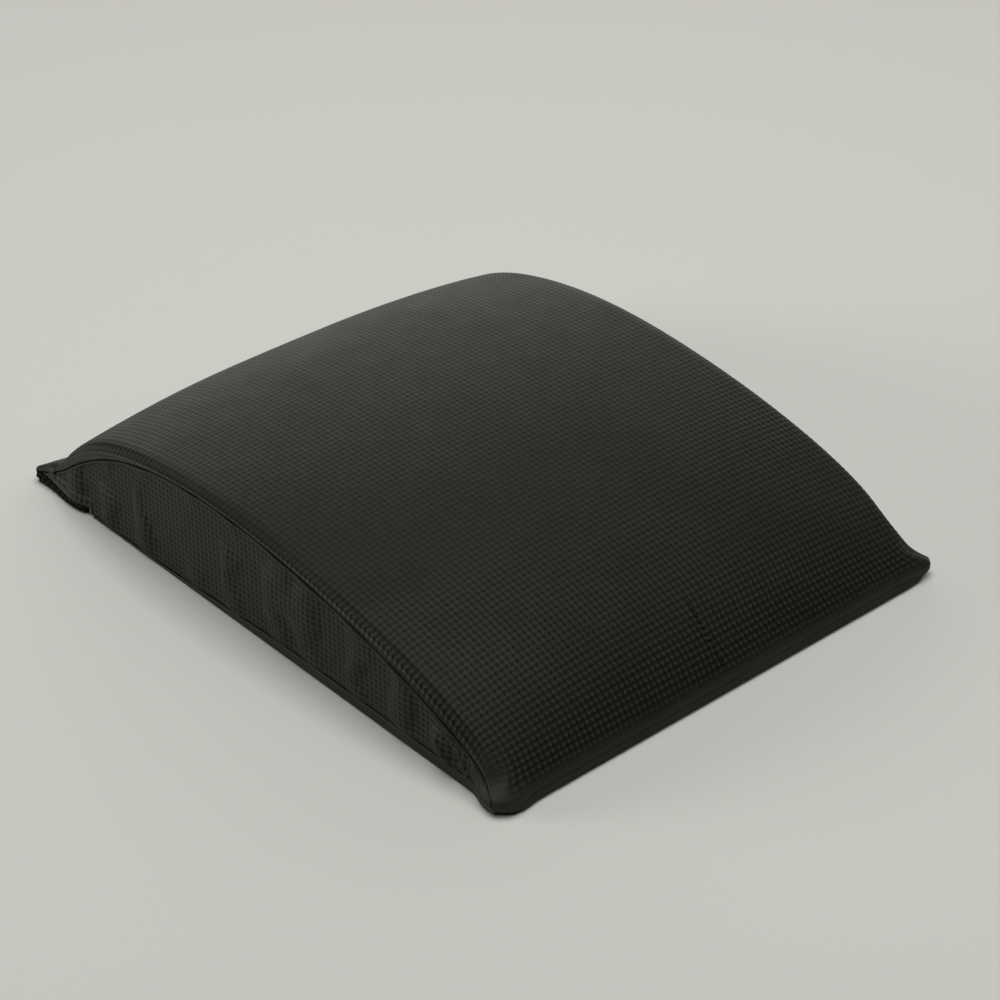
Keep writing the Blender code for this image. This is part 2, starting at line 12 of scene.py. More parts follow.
import bmesh
import bpy
import numpy as np
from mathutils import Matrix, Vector


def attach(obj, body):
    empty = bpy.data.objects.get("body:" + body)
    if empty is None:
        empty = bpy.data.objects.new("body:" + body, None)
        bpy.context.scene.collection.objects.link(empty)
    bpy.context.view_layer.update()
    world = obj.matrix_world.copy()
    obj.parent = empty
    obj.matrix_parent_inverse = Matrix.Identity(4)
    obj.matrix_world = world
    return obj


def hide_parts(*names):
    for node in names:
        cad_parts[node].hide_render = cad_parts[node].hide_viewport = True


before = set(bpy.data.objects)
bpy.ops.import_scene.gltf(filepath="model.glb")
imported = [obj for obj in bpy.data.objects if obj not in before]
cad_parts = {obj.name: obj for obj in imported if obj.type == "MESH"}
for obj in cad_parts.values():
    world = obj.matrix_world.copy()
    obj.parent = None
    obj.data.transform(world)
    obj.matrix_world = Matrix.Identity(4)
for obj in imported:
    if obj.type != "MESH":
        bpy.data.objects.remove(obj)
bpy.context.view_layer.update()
MM = 0.001

# %% [markdown]
# ## Sizes
# The form needs few numbers: its length, width and hem, and two smooth lines. One is the middle
# line, the arch seen from the side. The other is the seam where the top panel meets the gussets.
# Both are steered by a handful of shares, which pull a smooth curve up or down along its length.

# %% Driving sizes of the padded form
LENGTH = 380 * MM
WIDTH = 298 * MM
HALF_LENGTH = LENGTH / 2
HALF_WIDTH = WIDTH / 2
HEM_HEIGHT = 7.5 * MM
CROWN_RISE = 62.9 * MM
CROWN_SHARES = (0.44, 1.15, 1.09, 0.785)
SEAM_SHARES = (0.35, 0.98, 0.64, 1.38, 0.22)
SHOULDER_WIDTH = 9 * MM
SHOULDER_SHARE = 0.45
CROSS_POWER = 2.6
END_ROLL_POWER = 8.7
END_ROLL_ROOT = 1.2
FRONT_CORNER_RADIUS = 6 * MM
TOP_REAR = HALF_LENGTH - 7 * MM
VINYL = 1.2 * MM
SEAM_GAP = 0.45 * MM


# %% The two lines, and the crown between them
def smooth(v):
    """0 below 0, 1 above 1, and the soft S v*v*(3 - 2*v) between them."""
    v = np.clip(v, 0, 1)
    return v * v * (3 - 2 * v)


def rises(v, start, run):
    """0 up to start, 1 from start + run on, and the soft S between them."""
    return smooth((v - start) / run)


def falls(v, start, run):
    """1 up to start, 0 from start + run on."""
    return 1 - rises(v, start, run)


def hump(v, middle, width):
    """A bell: exp(-((v - middle) / width)^2)."""
    return np.exp(-(((v - middle) / width) ** 2))


def steered(shares, t):
    """Bernstein sum of the shares over t from 0 to 1."""
    last = len(shares) - 1
    return sum(math.comb(last, k) * t**k * (1 - t) ** (last - k) * share for k, share in enumerate(shares))


def crown_height(y):
    """Middle line: hem + rise * steered * (1 - |s|^8.7)^(1/1.2), with s from -1 at the front to 1."""
    s = np.clip(y / HALF_LENGTH, -1, 1)
    end_roll = (1 - np.abs(s) ** END_ROLL_POWER) ** (1 / END_ROLL_ROOT)
    return HEM_HEIGHT + CROWN_RISE * steered(CROWN_SHARES, (s + 1) / 2) * end_roll


def seam_height(y):
    """Side seam: its rise over the hem is a steered share of the middle line's rise."""
    s = np.clip(y / HALF_LENGTH, -1, 1)
    return HEM_HEIGHT + (crown_height(y) - HEM_HEIGHT) * steered(SEAM_SHARES, (s + 1) / 2)


stations = np.linspace(-HALF_LENGTH, HALF_LENGTH, 400)
print("highest point of the arch, mm:", round(crown_height(stations).max() / MM, 1))


# %% [markdown]
# ## Fabric is a grid of points
# A sewn panel could be modelled by hand and subdivided. Here it is a grid: row by row along the
# mat and column by column across it. Whole arrays are computed at once, so that a panel with a
# quarter of a million points takes a moment, and every dimple of the vinyl can be real shape.


# %% Helpers for grids
def unit(vectors):
    """Each vector divided by its length."""
    return vectors / np.maximum(np.linalg.norm(vectors, axis=-1, keepdims=True), 1e-12)


def normals(grid):
    """Unit normals: the cross product of the grid's two directions at each point."""
    return unit(np.cross(np.gradient(grid, axis=1), np.gradient(grid, axis=0)))


def arc_length(points):
    """Running length along a line of points, from 0."""
    steps = np.linalg.norm(np.diff(points, axis=0), axis=1)
    return np.concatenate([[0], np.cumsum(steps)])


def quads_of(index):
    """Four-sided faces between the rows and columns of a grid of point numbers."""
    corners = [index[:-1, :-1], index[:-1, 1:], index[1:, 1:], index[1:, :-1]]
    return np.stack(corners, axis=-1).reshape(-1, 4)


def grid_mesh(name, grid, look, body, closed=False, flip=False, tone=None):
    """A piece from a grid of points. closed joins its last column to the first, flip turns its faces."""
    rows, columns = grid.shape[:2]
    index = np.arange(rows * columns).reshape(rows, columns)
    if closed:
        index = np.concatenate([index, index[:, :1]], axis=1)
    quads = quads_of(index)
    if flip:
        quads = quads[:, ::-1]
    mesh = bpy.data.meshes.new(name)
    mesh.vertices.add(rows * columns)
    mesh.vertices.foreach_set("co", grid.reshape(-1).astype(np.float32))
    mesh.loops.add(quads.size)
    mesh.loops.foreach_set("vertex_index", quads.reshape(-1).astype(np.int32))
    mesh.polygons.add(len(quads))
    mesh.polygons.foreach_set("loop_start", np.arange(0, quads.size, 4, dtype=np.int32))
    mesh.update(calc_edges=True)
    if tone is not None:
        layer = mesh.attributes.new("tone", "FLOAT", "POINT")
        layer.data.foreach_set("value", tone.reshape(-1).astype(np.float32))
    return finish_piece(name, mesh, look, body)


def finish_piece(name, mesh, look, body):
    """Shades a mesh smooth, gives it its finish and lets it ride on its body."""
    mesh.validate()
    mesh.materials.append(look)
    mesh.shade_smooth()
    piece = bpy.data.objects.new(name, mesh)
    bpy.context.scene.collection.objects.link(piece)
    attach(piece, body)
    print(name, "has", sum(len(p.vertices) - 2 for p in mesh.polygons), "triangles")
    return piece


# %% [markdown]
# ## Finishes
# The vinyl is black with a trace of olive, and satin. Up close it has a fine leather grain, pressed
# in with the dimples, and a few specks of dust. Shade is painted into the ground of each pit, and a
# little light onto each dome. A picture could hold all this, but it would stretch over the corners.
# Noise in the piece's own space has the same scale all over, and the painted light and shade of the
# dimples comes from the mesh as an attribute.


# %% A small kit for node materials
def new_material(name):
    """A material with Blender's principled shader: the material, its node tree and that shader."""
    made = bpy.data.materials.new(name)
    made.use_nodes = True
    tree = made.node_tree
    return made, tree, tree.nodes["Principled BSDF"]


def node(tree, kind, **settings):
    """A new node of a kind, with its settings."""
    made = tree.nodes.new(kind)
    for key, value in settings.items():
        setattr(made, key, value)
    return made


def noise(tree, scale, detail=2.0, roughness=0.5, stretch=(1, 1, 1)):
    """Noise in the piece's own space. scale is in waves per metre."""
    place = node(tree, "ShaderNodeTexCoord")
    turn = node(tree, "ShaderNodeMapping")
    turn.inputs["Scale"].default_value = stretch
    made = node(tree, "ShaderNodeTexNoise")
    made.inputs["Scale"].default_value = scale
    made.inputs["Detail"].default_value = detail
    made.inputs["Roughness"].default_value = roughness
    tree.links.new(place.outputs["Object"], turn.inputs["Vector"])
    tree.links.new(turn.outputs["Vector"], made.inputs["Vector"])
    return made.outputs["Fac"]


def ramp(tree, source, stops):
    """A colour ramp from (place, colour or level) stops."""
    made = node(tree, "ShaderNodeValToRGB")
    while len(made.color_ramp.elements) < len(stops):
        made.color_ramp.elements.new(0.5)
    for element, (place, colour) in zip(made.color_ramp.elements, stops):
        element.position = place
        element.color = (*colour, 1) if isinstance(colour, tuple) else (colour, colour, colour, 1)
    tree.links.new(source, made.inputs["Fac"])
    return made.outputs["Color"]


def bump(tree, source, distance, strength=1.0, after=None):
    """Relief from a source, distance metres high. It comes on top of the relief after, if there is one."""
    made = node(tree, "ShaderNodeBump")
    made.inputs["Distance"].default_value = distance
    made.inputs["Strength"].default_value = strength
    tree.links.new(source, made.inputs["Height"])
    if after is not None:
        tree.links.new(after, made.inputs["Normal"])
    return made.outputs["Normal"]


def blend_colour(tree, factor, first, second, mode="MIX"):
    """Mixes two colours, each a fixed one or a node's output."""
    made = node(tree, "ShaderNodeMix", data_type="RGBA", blend_type=mode)
    for socket, value in ((made.inputs[6], first), (made.inputs[7], second)):
        if isinstance(value, tuple):
            socket.default_value = (*value, 1)
        else:
            tree.links.new(value, socket)
    if isinstance(factor, float):
        made.inputs[0].default_value = factor
    else:
        tree.links.new(factor, made.inputs[0])
    return made.outputs[2]


# %% Embossed vinyl
# Painted shade and light: the pit colour is the shade in the dimples' hollows and the dome colour the light
# the domes catch. The ground and the dust are the vinyl's own.
PIT_PAINTED_SHADE = (0.0010, 0.0010, 0.0010)
VINYL_GROUND = (0.0122, 0.0119, 0.0088)
DOME_PAINTED_LIGHT = (0.0300, 0.0302, 0.0285)
DUST = (0.050, 0.048, 0.042)
VINYL_GLOSS = 0.15
VINYL_SHEEN_TINT = (1.0, 0.98, 0.90, 1)
# Waves per metre: slow drift of the tone, specks of dust, worn gloss, leather grain and its pores.
DRIFT_WAVES = 22
DUST_WAVES = 640
WORN_WAVES = 60
GRAIN_WAVES = 2600
PORE_WAVES = 900
GRAIN_DEPTH = 0.06 * MM
PORE_DEPTH = 0.10 * MM


def vinyl(name, roughness, grain=1.0, dust=0.5):
    """Near-black satin vinyl: painted shade in the pits and painted light on the domes, leather grain and
    pores, specks of dust.
    """
    made, tree, shader = new_material(name)
    tone = node(tree, "ShaderNodeAttribute", attribute_name="tone")
    # The tone attribute paints shade into the pits and light onto the domes.
    body = ramp(tree, tone.outputs["Fac"], [(0.05, PIT_PAINTED_SHADE), (0.5, VINYL_GROUND), (0.95, DOME_PAINTED_LIGHT)])
    drift = ramp(tree, noise(tree, DRIFT_WAVES, 3), [(0.35, 0.86), (0.7, 1.12)])
    body = blend_colour(tree, 1.0, body, drift, "MULTIPLY")
    specks = ramp(tree, noise(tree, DUST_WAVES, 1, 0.4), [(0.735, 0.0), (0.79, dust)])
    body = blend_colour(tree, specks, body, DUST)
    tree.links.new(body, shader.inputs["Base Color"])
    worn = ramp(tree, noise(tree, WORN_WAVES, 3), [(0.3, roughness - 0.02), (0.7, roughness + 0.03)])
    tree.links.new(worn, shader.inputs["Roughness"])
    shader.inputs["Specular IOR Level"].default_value = VINYL_GLOSS
    shader.inputs["Specular Tint"].default_value = VINYL_SHEEN_TINT
    fine = bump(tree, noise(tree, GRAIN_WAVES, 3, 0.6), GRAIN_DEPTH, 0.5 * grain)
    pores = bump(tree, noise(tree, PORE_WAVES, 2, 0.5), PORE_DEPTH, 0.35 * grain, after=fine)
    tree.links.new(pores, shader.inputs["Normal"])
    return made


top_look = vinyl("top_vinyl", 0.50)
gusset_look = vinyl("gusset_vinyl", 0.54)
base_look = vinyl("base_vinyl", 0.56, grain=1.4)
placket_look = vinyl("placket_vinyl", 0.54)
print("made", len(bpy.data.materials), "materials so far")


# %% Thread, foam, tape and metal
def simple(name, colour, roughness, metallic=0.0, grain_scale=900, grain=0.00004, mottled=0.12):
    """One colour, mottled a little, with a fine grain. grain_scale is in waves per metre, grain in metres."""
    made, tree, shader = new_material(name)
    shader.inputs["Specular IOR Level"].default_value = VINYL_GLOSS
    drift = ramp(tree, noise(tree, grain_scale / 4, 3), [(0.3, 1 - mottled), (0.7, 1 + mottled)])
    tree.links.new(blend_colour(tree, 1.0, colour, drift, "MULTIPLY"), shader.inputs["Base Color"])
    shader.inputs["Roughness"].default_value = roughness
    shader.inputs["Metallic"].default_value = metallic
    tree.links.new(bump(tree, noise(tree, grain_scale, 2), grain, 0.6), shader.inputs["Normal"])
    return made


thread_look = simple("thread", (0.022, 0.022, 0.019), 0.55, grain_scale=5000)
foam_look = simple("foam", (0.20, 0.20, 0.21), 0.95, grain_scale=1500, grain=0.0003)
tape_look = simple("zip_tape", (0.0025, 0.0025, 0.0027), 0.85, grain_scale=2500, grain=0.0001)
teeth_look = simple("zip_teeth", (0.0015, 0.0015, 0.0017), 0.65)
steel_look = simple("zip_metal", (0.13, 0.13, 0.125), 0.42, metallic=1.0)
enamel_look = simple("slider_enamel", (0.035, 0.035, 0.036), 0.30)
print("made", len(bpy.data.materials), "materials in all")


# %% [markdown]
# ## The embossing
# The vinyl carries a square lattice of small round domes, about 3.5 mm apart, with a round pit
# between each four. It could be a bump in the material, but then the outline would stay smooth and
# the mesh bare. With six points to each dome it is real relief, three tenths of a millimetre
# deep. Two crossed cosine waves would be shorter to write, but their slopes run in lines, and light
# draws them as stripes. Domes and pits that stand apart catch the light one by one, as real ones do.
# Where the sheet stands upright, light from above never reaches the ground between its domes, so
# the tone paints that ground in shade and keeps only the domes light there. Elsewhere it paints
# the pits darker, as shade, and the domes a little lighter, as light.

# %% Lattice
PITCH_ACROSS = 3.42 * MM
PITCH_ALONG = 3.54 * MM
EMBOSS = 0.09 * MM
PIT_TO_DOME = 2.2
DOME_SHARE = 0.50
PIT_SHARE = 0.42
SPOT_EDGE = 1.4
POINTS_PER_PITCH = 6
print("domes across the mat:", round(WIDTH / PITCH_ACROSS), "and along it:", round(LENGTH / PITCH_ALONG))


def round_spots(across, along, share):
    """smooth(1.4 (1 - r / share)), where r is the way to the nearest whole pair (across, along)."""
    r = np.hypot(across - np.round(across), along - np.round(along))
    return smooth(SPOT_EDGE - SPOT_EDGE * r / share)


def lattice(u, v):
    """Domes one pitch apart, and pits half a pitch off them, at lengths u across and v along."""
    across = u / PITCH_ACROSS
    along = v / PITCH_ALONG
    return round_spots(across, along, DOME_SHARE), round_spots(across + 0.5, along + 0.5, PIT_SHARE)


# %% Embossing a grid
# Tone is painted light and shade: pits darker as shade, domes lighter as light, and where the sheet is shaded
# the ground between the domes painted in shade.
PLAIN_TONE = 0.56
DOME_LIT, PIT_LIT = 0.2, 0.54
DOME_SHADED, GROUND_SHADED = 0.81, 0.42


def emboss(grid, u, v, depth, shaded=0.0):
    """Moves a grid along its normals by the lattice. Returns it and its tone of painted light and shade: 0 in
    pits, 1 on domes.

    Tone is 0.56 + 0.2 dome - 0.54 pit in full light and 0.56 + 0.81 dome - 0.42 where shaded is 1.
    """
    dome, pit = lattice(u, v)
    share = np.clip(depth / EMBOSS, 0, 1)
    in_light = DOME_LIT * dome - PIT_LIT * pit
    in_shade = DOME_SHADED * dome - GROUND_SHADED
    relief = in_light * (1 - shaded) + in_shade * shaded
    return grid + ((dome - PIT_TO_DOME * pit) * depth)[..., None] * normals(grid), PLAIN_TONE + relief * share


# %% [markdown]
# ## Corners
# Corners give hand sewing away. At the front the top panel wraps round the corner, so its upright
# seam stands a few millimetres back on the side, and the turned-out corner sticks out in a small
# ear just over the floor. The left one is fuller, with a soft bulge on each side of it. At the rear,
# the lip and the zip flare out where they turn, and the zip turns a little more squarely than the
# lip. Every panel is worked out as a plain rectangle first and bent by one rule at the end, so all
# still meet. Sculpting each panel by eye would take as long and leave gaps between them.


# %% Front corners in plan
# A pair of sizes is a soft step, as its start and its run, or a hump, as its middle and its width.
# Sizes named for the left and right corner come in that order.
CREASE = 2.5 * MM
WRAP = 5 * MM
WRAP_ALONG = (0, 15 * MM)
WRAP_INWARD = (0, 6 * MM)
WRAP_TOP = (14 * MM, 22 * MM)
EAR_OUT = (3.4 * MM, 6.2 * MM)
EAR_LOW = (0.9 * MM, 0)
EAR_FORWARD = 1.3 * MM
EAR_SPREAD = 13 * MM
EAR_FOOT = (1 * MM, 4 * MM)
EAR_TOP = (7 * MM, 10 * MM)
PINCH = (1.2 * MM, 3.4 * MM)
PINCH_UP = (26 * MM, 11 * MM)
PINCH_BACK = (0, 42 * MM)


def wrapped(a, b, z):
    """Slides points round the corner towards the side. a is their way in from the side, b from the front.

    The way along, b - a, grows by the slide. The depth (a + b - sqrt((b - a)^2 + crease^2)) / 2 stays.
    """
    along = b - a
    depth = (a + b - np.sqrt(along**2 + CREASE**2)) / 2
    slide = WRAP * hump(along, *WRAP_ALONG) * hump(np.maximum(depth, 0), *WRAP_INWARD)
    along = along + slide * falls(z, *WRAP_TOP)
    soft = np.sqrt(along**2 + CREASE**2)
    return depth + (soft - along) / 2, depth + (soft + along) / 2


def rounded(a, b):
    """Rounds the corner as a square is drawn into a disc: each way in by 1 - sqrt(1 - other^2 / 2)."""
    in_a = np.clip(1 - a / FRONT_CORNER_RADIUS, 0, 1)
    in_b = np.clip(1 - b / FRONT_CORNER_RADIUS, 0, 1)
    a = a + FRONT_CORNER_RADIUS * in_a * (1 - np.sqrt(1 - in_b**2 / 2))
    b = b + FRONT_CORNER_RADIUS * in_b * (1 - np.sqrt(1 - in_a**2 / 2))
    return a, b


def eared(a, b, z, left):
    """Draws the corner out in an ear, low down, and pinches the cover in above it. Returns x and y."""
    near = np.exp(-(np.maximum(a, 0) ** 2 + np.maximum(b, 0) ** 2) / EAR_SPREAD**2)
    tall = rises(z, *EAR_FOOT) * falls(z, *EAR_TOP)
    low_ear = np.where(left, *EAR_LOW)
    out = near * (low_ear + (np.where(left, *EAR_OUT) - low_ear) * tall)
    pinch = np.where(left, *PINCH) * (hump(z, *PINCH_UP) * hump(b, *PINCH_BACK))
    return HALF_WIDTH - a + out - pinch, -HALF_LENGTH + b - near * EAR_FORWARD * tall


# %% The left corner's bulges, and the rear corners
BULGE = 3.0 * MM
BULGE_BACK = (11.5 * MM, 7.5 * MM)
BULGE_INWARD = (0, 9 * MM)
FRONT_BULGE = 1.5 * MM
FRONT_BULGE_INWARD = (9 * MM, 7 * MM)
FRONT_BULGE_BACK = (0, 9 * MM)
BULGE_TOP = (5 * MM, 9 * MM)
ZIP_BACK = HALF_LENGTH + 4.2 * MM
SQUARED = 1.4 * MM
SQUARED_REACH = 5 * MM
SQUARED_TOP = (5.4 * MM, 1.4 * MM)
FLARE_BACK = 4.5 * MM
FLARE_SIDE = (-24 * MM, 24 * MM)
FLARE_REAR = (-20 * MM, 20 * MM)
FLARE_TOP = (10 * MM, 12 * MM)
ZIP_MORE = 0.9
ZIP_MORE_TOP = (5.2 * MM, 2 * MM)
FLARE_OUT = 2.0 * MM
FLARE_OUT_FROM = (147 * MM, 15 * MM)
FLARE_OUT_SIDE = (-12 * MM, 12 * MM)
FLARE_OUT_TOP = (5 * MM, 8 * MM)
SAG = 0.5
SAG_AT = (170 * MM, 12 * MM)


def bulged(x, y, a, b, z):
    """Puffs the cover out beside the ear and in front of it, near the floor."""
    beside = hump(b, *BULGE_BACK) * falls(a, *BULGE_INWARD)
    before = hump(a, *FRONT_BULGE_INWARD) * falls(b, *FRONT_BULGE_BACK)
    near_floor = falls(z, *BULGE_TOP)
    return x + BULGE * beside * near_floor, y - FRONT_BULGE * before * near_floor


def squared(x, y, z):
    """Pushes the zip's turn out over both axes, so that it turns more squarely than the lip."""
    corner = ((x - HALF_WIDTH) ** 2 + (y - ZIP_BACK) ** 2) / SQUARED_REACH**2
    push = SQUARED * np.exp(-corner) * falls(z, *SQUARED_TOP)
    return x + push, y + push


def flared(x, y, z):
    """Draws the rear corners back, the zip up to 1.9 times as far as the lip, and then out to the side."""
    outer = rises(x - HALF_WIDTH, *FLARE_SIDE)
    rear = rises(y - HALF_LENGTH, *FLARE_REAR)
    more = 1 + ZIP_MORE * falls(z, *ZIP_MORE_TOP)
    y = y + FLARE_BACK * outer**2 * rear * falls(z, *FLARE_TOP) * more
    behind = rises(y, *FLARE_OUT_FROM) * rises(x - HALF_WIDTH, *FLARE_OUT_SIDE)
    sagging = FLARE_OUT * (1 + SAG * hump(y, *SAG_AT))
    return x + sagging * behind * falls(z, *FLARE_OUT_TOP), y


def shaped_plan(points):
    """Bends a panel in plan: wraps, rounds and draws out the front corners, and flares the rear ones."""
    points = np.array(points, float)
    side = np.sign(points[..., 0])
    left = side < 0
    z = points[..., 2]
    a, b = rounded(*wrapped(HALF_WIDTH - np.abs(points[..., 0]), points[..., 1] + HALF_LENGTH, z))
    x, y = eared(a, b, z, left)
    full_x, full_y = bulged(x, y, a, b, z)
    x, y = squared(np.where(left, full_x, x), np.where(left, full_y, y), z)
    x, y = flared(x, y, z)
    return np.stack([side * x, y, z], axis=-1)


near_corner = shaped_plan([-HALF_WIDTH, -HALF_LENGTH, 5 * MM])
print("near corner, 5 mm up, bends to, mm:", (near_corner / MM).round(1).tolist())


# %% [markdown]
# ## Top panel
# One sheet runs from the front hem over the crown to the seam above the zip. Its rows are spaced
# evenly by the length of fabric along the middle line. Across, it is nearly flat, then turns down
# over a round shoulder and rolls under into the seam, as a sewn edge does when it is turned out.

# %% Rows along the mat and columns across it
SEAM_ROLL = 0.8 * MM
SEAM_ALLOWANCE = 4 * MM
FRONT_SEAM = 2.7 * MM
REAR_ROLL = 1.2 * MM


def front_to_rear():
    """The middle line as (y, z): rolled in at the front seam, up the hem, over the crown."""
    turn = np.linspace(0, math.pi / 2, 12)
    roll_y = -HALF_LENGTH + SEAM_ROLL * (1 - np.sin(turn))
    roll_z = FRONT_SEAM + SEAM_ROLL * (1 - np.cos(turn))
    rise_z = np.linspace(roll_z[-1], HEM_HEIGHT, 12)[1:]
    angle = np.linspace(-math.pi / 2, math.asin(TOP_REAR / HALF_LENGTH), 1500)[1:]
    y = HALF_LENGTH * np.sin(angle)
    z = crown_height(y)
    all_y = np.concatenate([roll_y, np.full(len(rise_z), -HALF_LENGTH), y])
    return np.stack([all_y, np.concatenate([roll_z, rise_z, z])], axis=1)


profile = front_to_rear()
profile_length = arc_length(profile)
row_count = int(profile_length[-1] / (PITCH_ALONG / POINTS_PER_PITCH)) + 1
over_end = np.sin(np.linspace(0, math.pi / 2, 8))[1:]
row_v = np.linspace(0, profile_length[-1] - REAR_ROLL, row_count)
row_v = np.concatenate([row_v, row_v[-1] + REAR_ROLL * over_end, profile_length[-1:]])
row_count = len(row_v)
row_y = np.interp(row_v, profile_length, profile[:, 0])
row_z = np.interp(row_v, profile_length, profile[:, 1])
edge = HALF_WIDTH - SHOULDER_WIDTH
crown_x = np.arange(int(edge / (PITCH_ACROSS / POINTS_PER_PITCH))) * PITCH_ACROSS / POINTS_PER_PITCH
shoulder_x = edge + SHOULDER_WIDTH * np.sin(np.linspace(0, math.pi / 2, 24))
half_x = np.concatenate([crown_x, shoulder_x])
column_x = np.concatenate([-half_x[:0:-1], half_x])
print("fabric along the middle:", round(profile_length[-1] / MM, 1), "mm")
print("grid:", row_count, "rows of", len(column_x), "points")


# %% The crown between its seams
SWELL = 0.10 * MM
# Each wave: its share of the height, its waves across and along in radians per metre, and its start.
SWELL_WAVES = ((1, 31, 17, 0.6), (1, -23, 41, 2.1), (0.6, 58, -29, 4.0))
FLAT_CORNER = 0.15
FLAT_RIGHT = 1.8
FLAT_ACROSS, FLAT_ALONG = 1.7, 0.75
FLAT_OUT = (5 * MM, 22 * MM)


def soft_swell(x, y):
    """Slow unevenness of hand-fitted foam and fabric: three long waves, under 0.3 mm high together."""
    waves = [share * np.sin(across * x + along * y + start) for share, across, along, start in SWELL_WAVES]
    return SWELL * sum(waves)


def crown_surface(x, y):
    """Height of the top at x across and y along: crown that curves down, then a round shoulder."""
    across = np.abs(x) / HALF_WIDTH
    turn = np.clip((np.abs(x) - edge) / SHOULDER_WIDTH, 0, 1)
    crown = crown_height(y)
    low = np.minimum(seam_height(y) + SEAM_ROLL, crown)
    rise = SHOULDER_SHARE * np.sqrt(1 - turn**2) + (1 - SHOULDER_SHARE) * (1 - across**CROSS_POWER)
    return low + (crown - low) * rise


def pulled_flat(points):
    """0.15 at the front corners, where sewing stretches the relief away, and 1 some way off.

    It is a hand's work, so the left one is wider.
    """
    a = HALF_WIDTH - np.abs(points[..., 0])
    b = points[..., 1] + HALF_LENGTH
    nearer = np.where(points[..., 0] < 0, 1, FLAT_RIGHT)
    away = nearer * np.hypot(FLAT_ACROSS * a, FLAT_ALONG * b)
    return FLAT_CORNER + (1 - FLAT_CORNER) * rises(away, *FLAT_OUT)


def rolled_edge(edge_points, heading, inward, radius, steps):
    """Columns that roll a panel's edge: a quarter circle from its heading to inward."""
    turn = np.linspace(0, math.pi / 2, steps + 1)[1:]
    out = heading[:, None] * np.sin(turn)[:, None] + inward * (1 - np.cos(turn))[:, None]
    return edge_points[:, None] + radius * out


# %% The top's grid, with its rolled edges
REAR_ALLOWANCE = 2 * MM
ROLL_TURNS = 5 * MM

x_grid, y_grid = np.meshgrid(column_x, row_y)
z_grid = crown_surface(x_grid, y_grid)
low_rows = row_y <= -HALF_LENGTH + SEAM_ROLL
hem_rows = low_rows & (row_z < HEM_HEIGHT)
z_grid[hem_rows] = row_z[hem_rows, None]
to_end = (profile_length[-1] - row_v)[:, None]
short = np.clip(REAR_ROLL - to_end, 0, REAR_ROLL)
z_grid -= REAR_ROLL - np.sqrt(REAR_ROLL**2 - short**2)
z_grid[-1] -= REAR_ALLOWANCE
top = np.stack([x_grid, y_grid, z_grid], axis=2)

corner = rises(-HALF_LENGTH + ROLL_TURNS - row_y, 0, ROLL_TURNS)[:, None]
heading = unit(np.array([0, 0, -1.0]) * (1 - corner) + np.array([0, 1.0, 0]) * corner)
left_roll = rolled_edge(top[:, 0], heading, np.array([1.0, 0, 0]), SEAM_ROLL, 5)
right_roll = rolled_edge(top[:, -1], heading, np.array([-1.0, 0, 0]), SEAM_ROLL, 5)
inwards = np.array([SEAM_ALLOWANCE, 0, 0])
left_flap, right_flap = left_roll[:, -1:] + inwards, right_roll[:, -1:] - inwards
top = np.concatenate([left_flap, left_roll[:, ::-1], top, right_roll, right_flap], axis=1)
print("top panel's grid is", top.shape[0], "by", top.shape[1], "points")

# %% Where its embossing fades
FADE_SEAM = (0.8 * MM, 1.6 * MM)
FADE_FRONT = (5 * MM, 9 * MM)
FADE_REAR = (1.5 * MM, 2 * MM)
UPRIGHT = (0.72, 0.24)
TAUT = (54 * MM, 13 * MM)
TAUT_LOSS = 0.5
HEM_TONE = 0.22
HEM_TONE_END = (3 * MM, 11 * MM)
# Painted highlight on the plain patches at the front corners.
CORNER_PAINTED_HIGHLIGHT = 0.36

middle = top.shape[1] // 2
column_steps = np.linalg.norm(np.diff(top, axis=1), axis=2)
u_grid = np.concatenate([np.zeros((row_count, 1)), np.cumsum(column_steps, axis=1)], axis=1)
u_grid -= u_grid[:, middle : middle + 1]
v_grid = np.repeat(row_v[:, None], top.shape[1], axis=1)
from_seam = np.minimum(u_grid - u_grid[:, :1], u_grid[:, -1:] - u_grid) - SEAM_ALLOWANCE
fade = rises(from_seam, *FADE_SEAM) * rises(v_grid, *FADE_FRONT)
fade = fade * rises(profile_length[-1] - v_grid, *FADE_REAR) * pulled_flat(top)
top = top + (soft_swell(top[..., 0], top[..., 1]) * fade)[..., None] * normals(top)
# Where the sheet stands upright, the tone paints the ground between its domes in shade.
upright = falls(normals(top)[..., 2], *UPRIGHT)

# Over the crown the sheet is stretched tight, and its domes and pits lie half as deep.
taut = rises(top[..., 2], *TAUT) * (1 - upright)
top, top_tone = emboss(top, u_grid, v_grid, EMBOSS * fade * (1 - TAUT_LOSS * taut), upright)
# Painted highlight: the plain patches at the front corners are made lighter. The band along the front hem is
# lighter too.
top_tone += HEM_TONE * falls(v_grid, *HEM_TONE_END) + CORNER_PAINTED_HIGHLIGHT * (1 - pulled_flat(top))
top_skin = grid_mesh("top_skin", shaped_plan(top), top_look, "cover", tone=top_tone)
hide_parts("top_panel")

# %% [markdown]
# ## Gussets
# Each side is a gusset: a tall leaf of the same vinyl, cut a little long so that the sewing can
# take it round. Held by its seams, the spare length stands up in soft upright folds. That is what
# cloth does, so the folds start from a small cloth simulation: a coarse copy of the leaf, pinned
# along its seams, grows by one part in a hundred and buckles. Faint ridges drawn at the start say
# where. What settles is uneven in the right way but lower than the real folds, so it is raised, and
# even ridges drawn at the same places are added. The fine leaf, with its domes and pits, takes both.

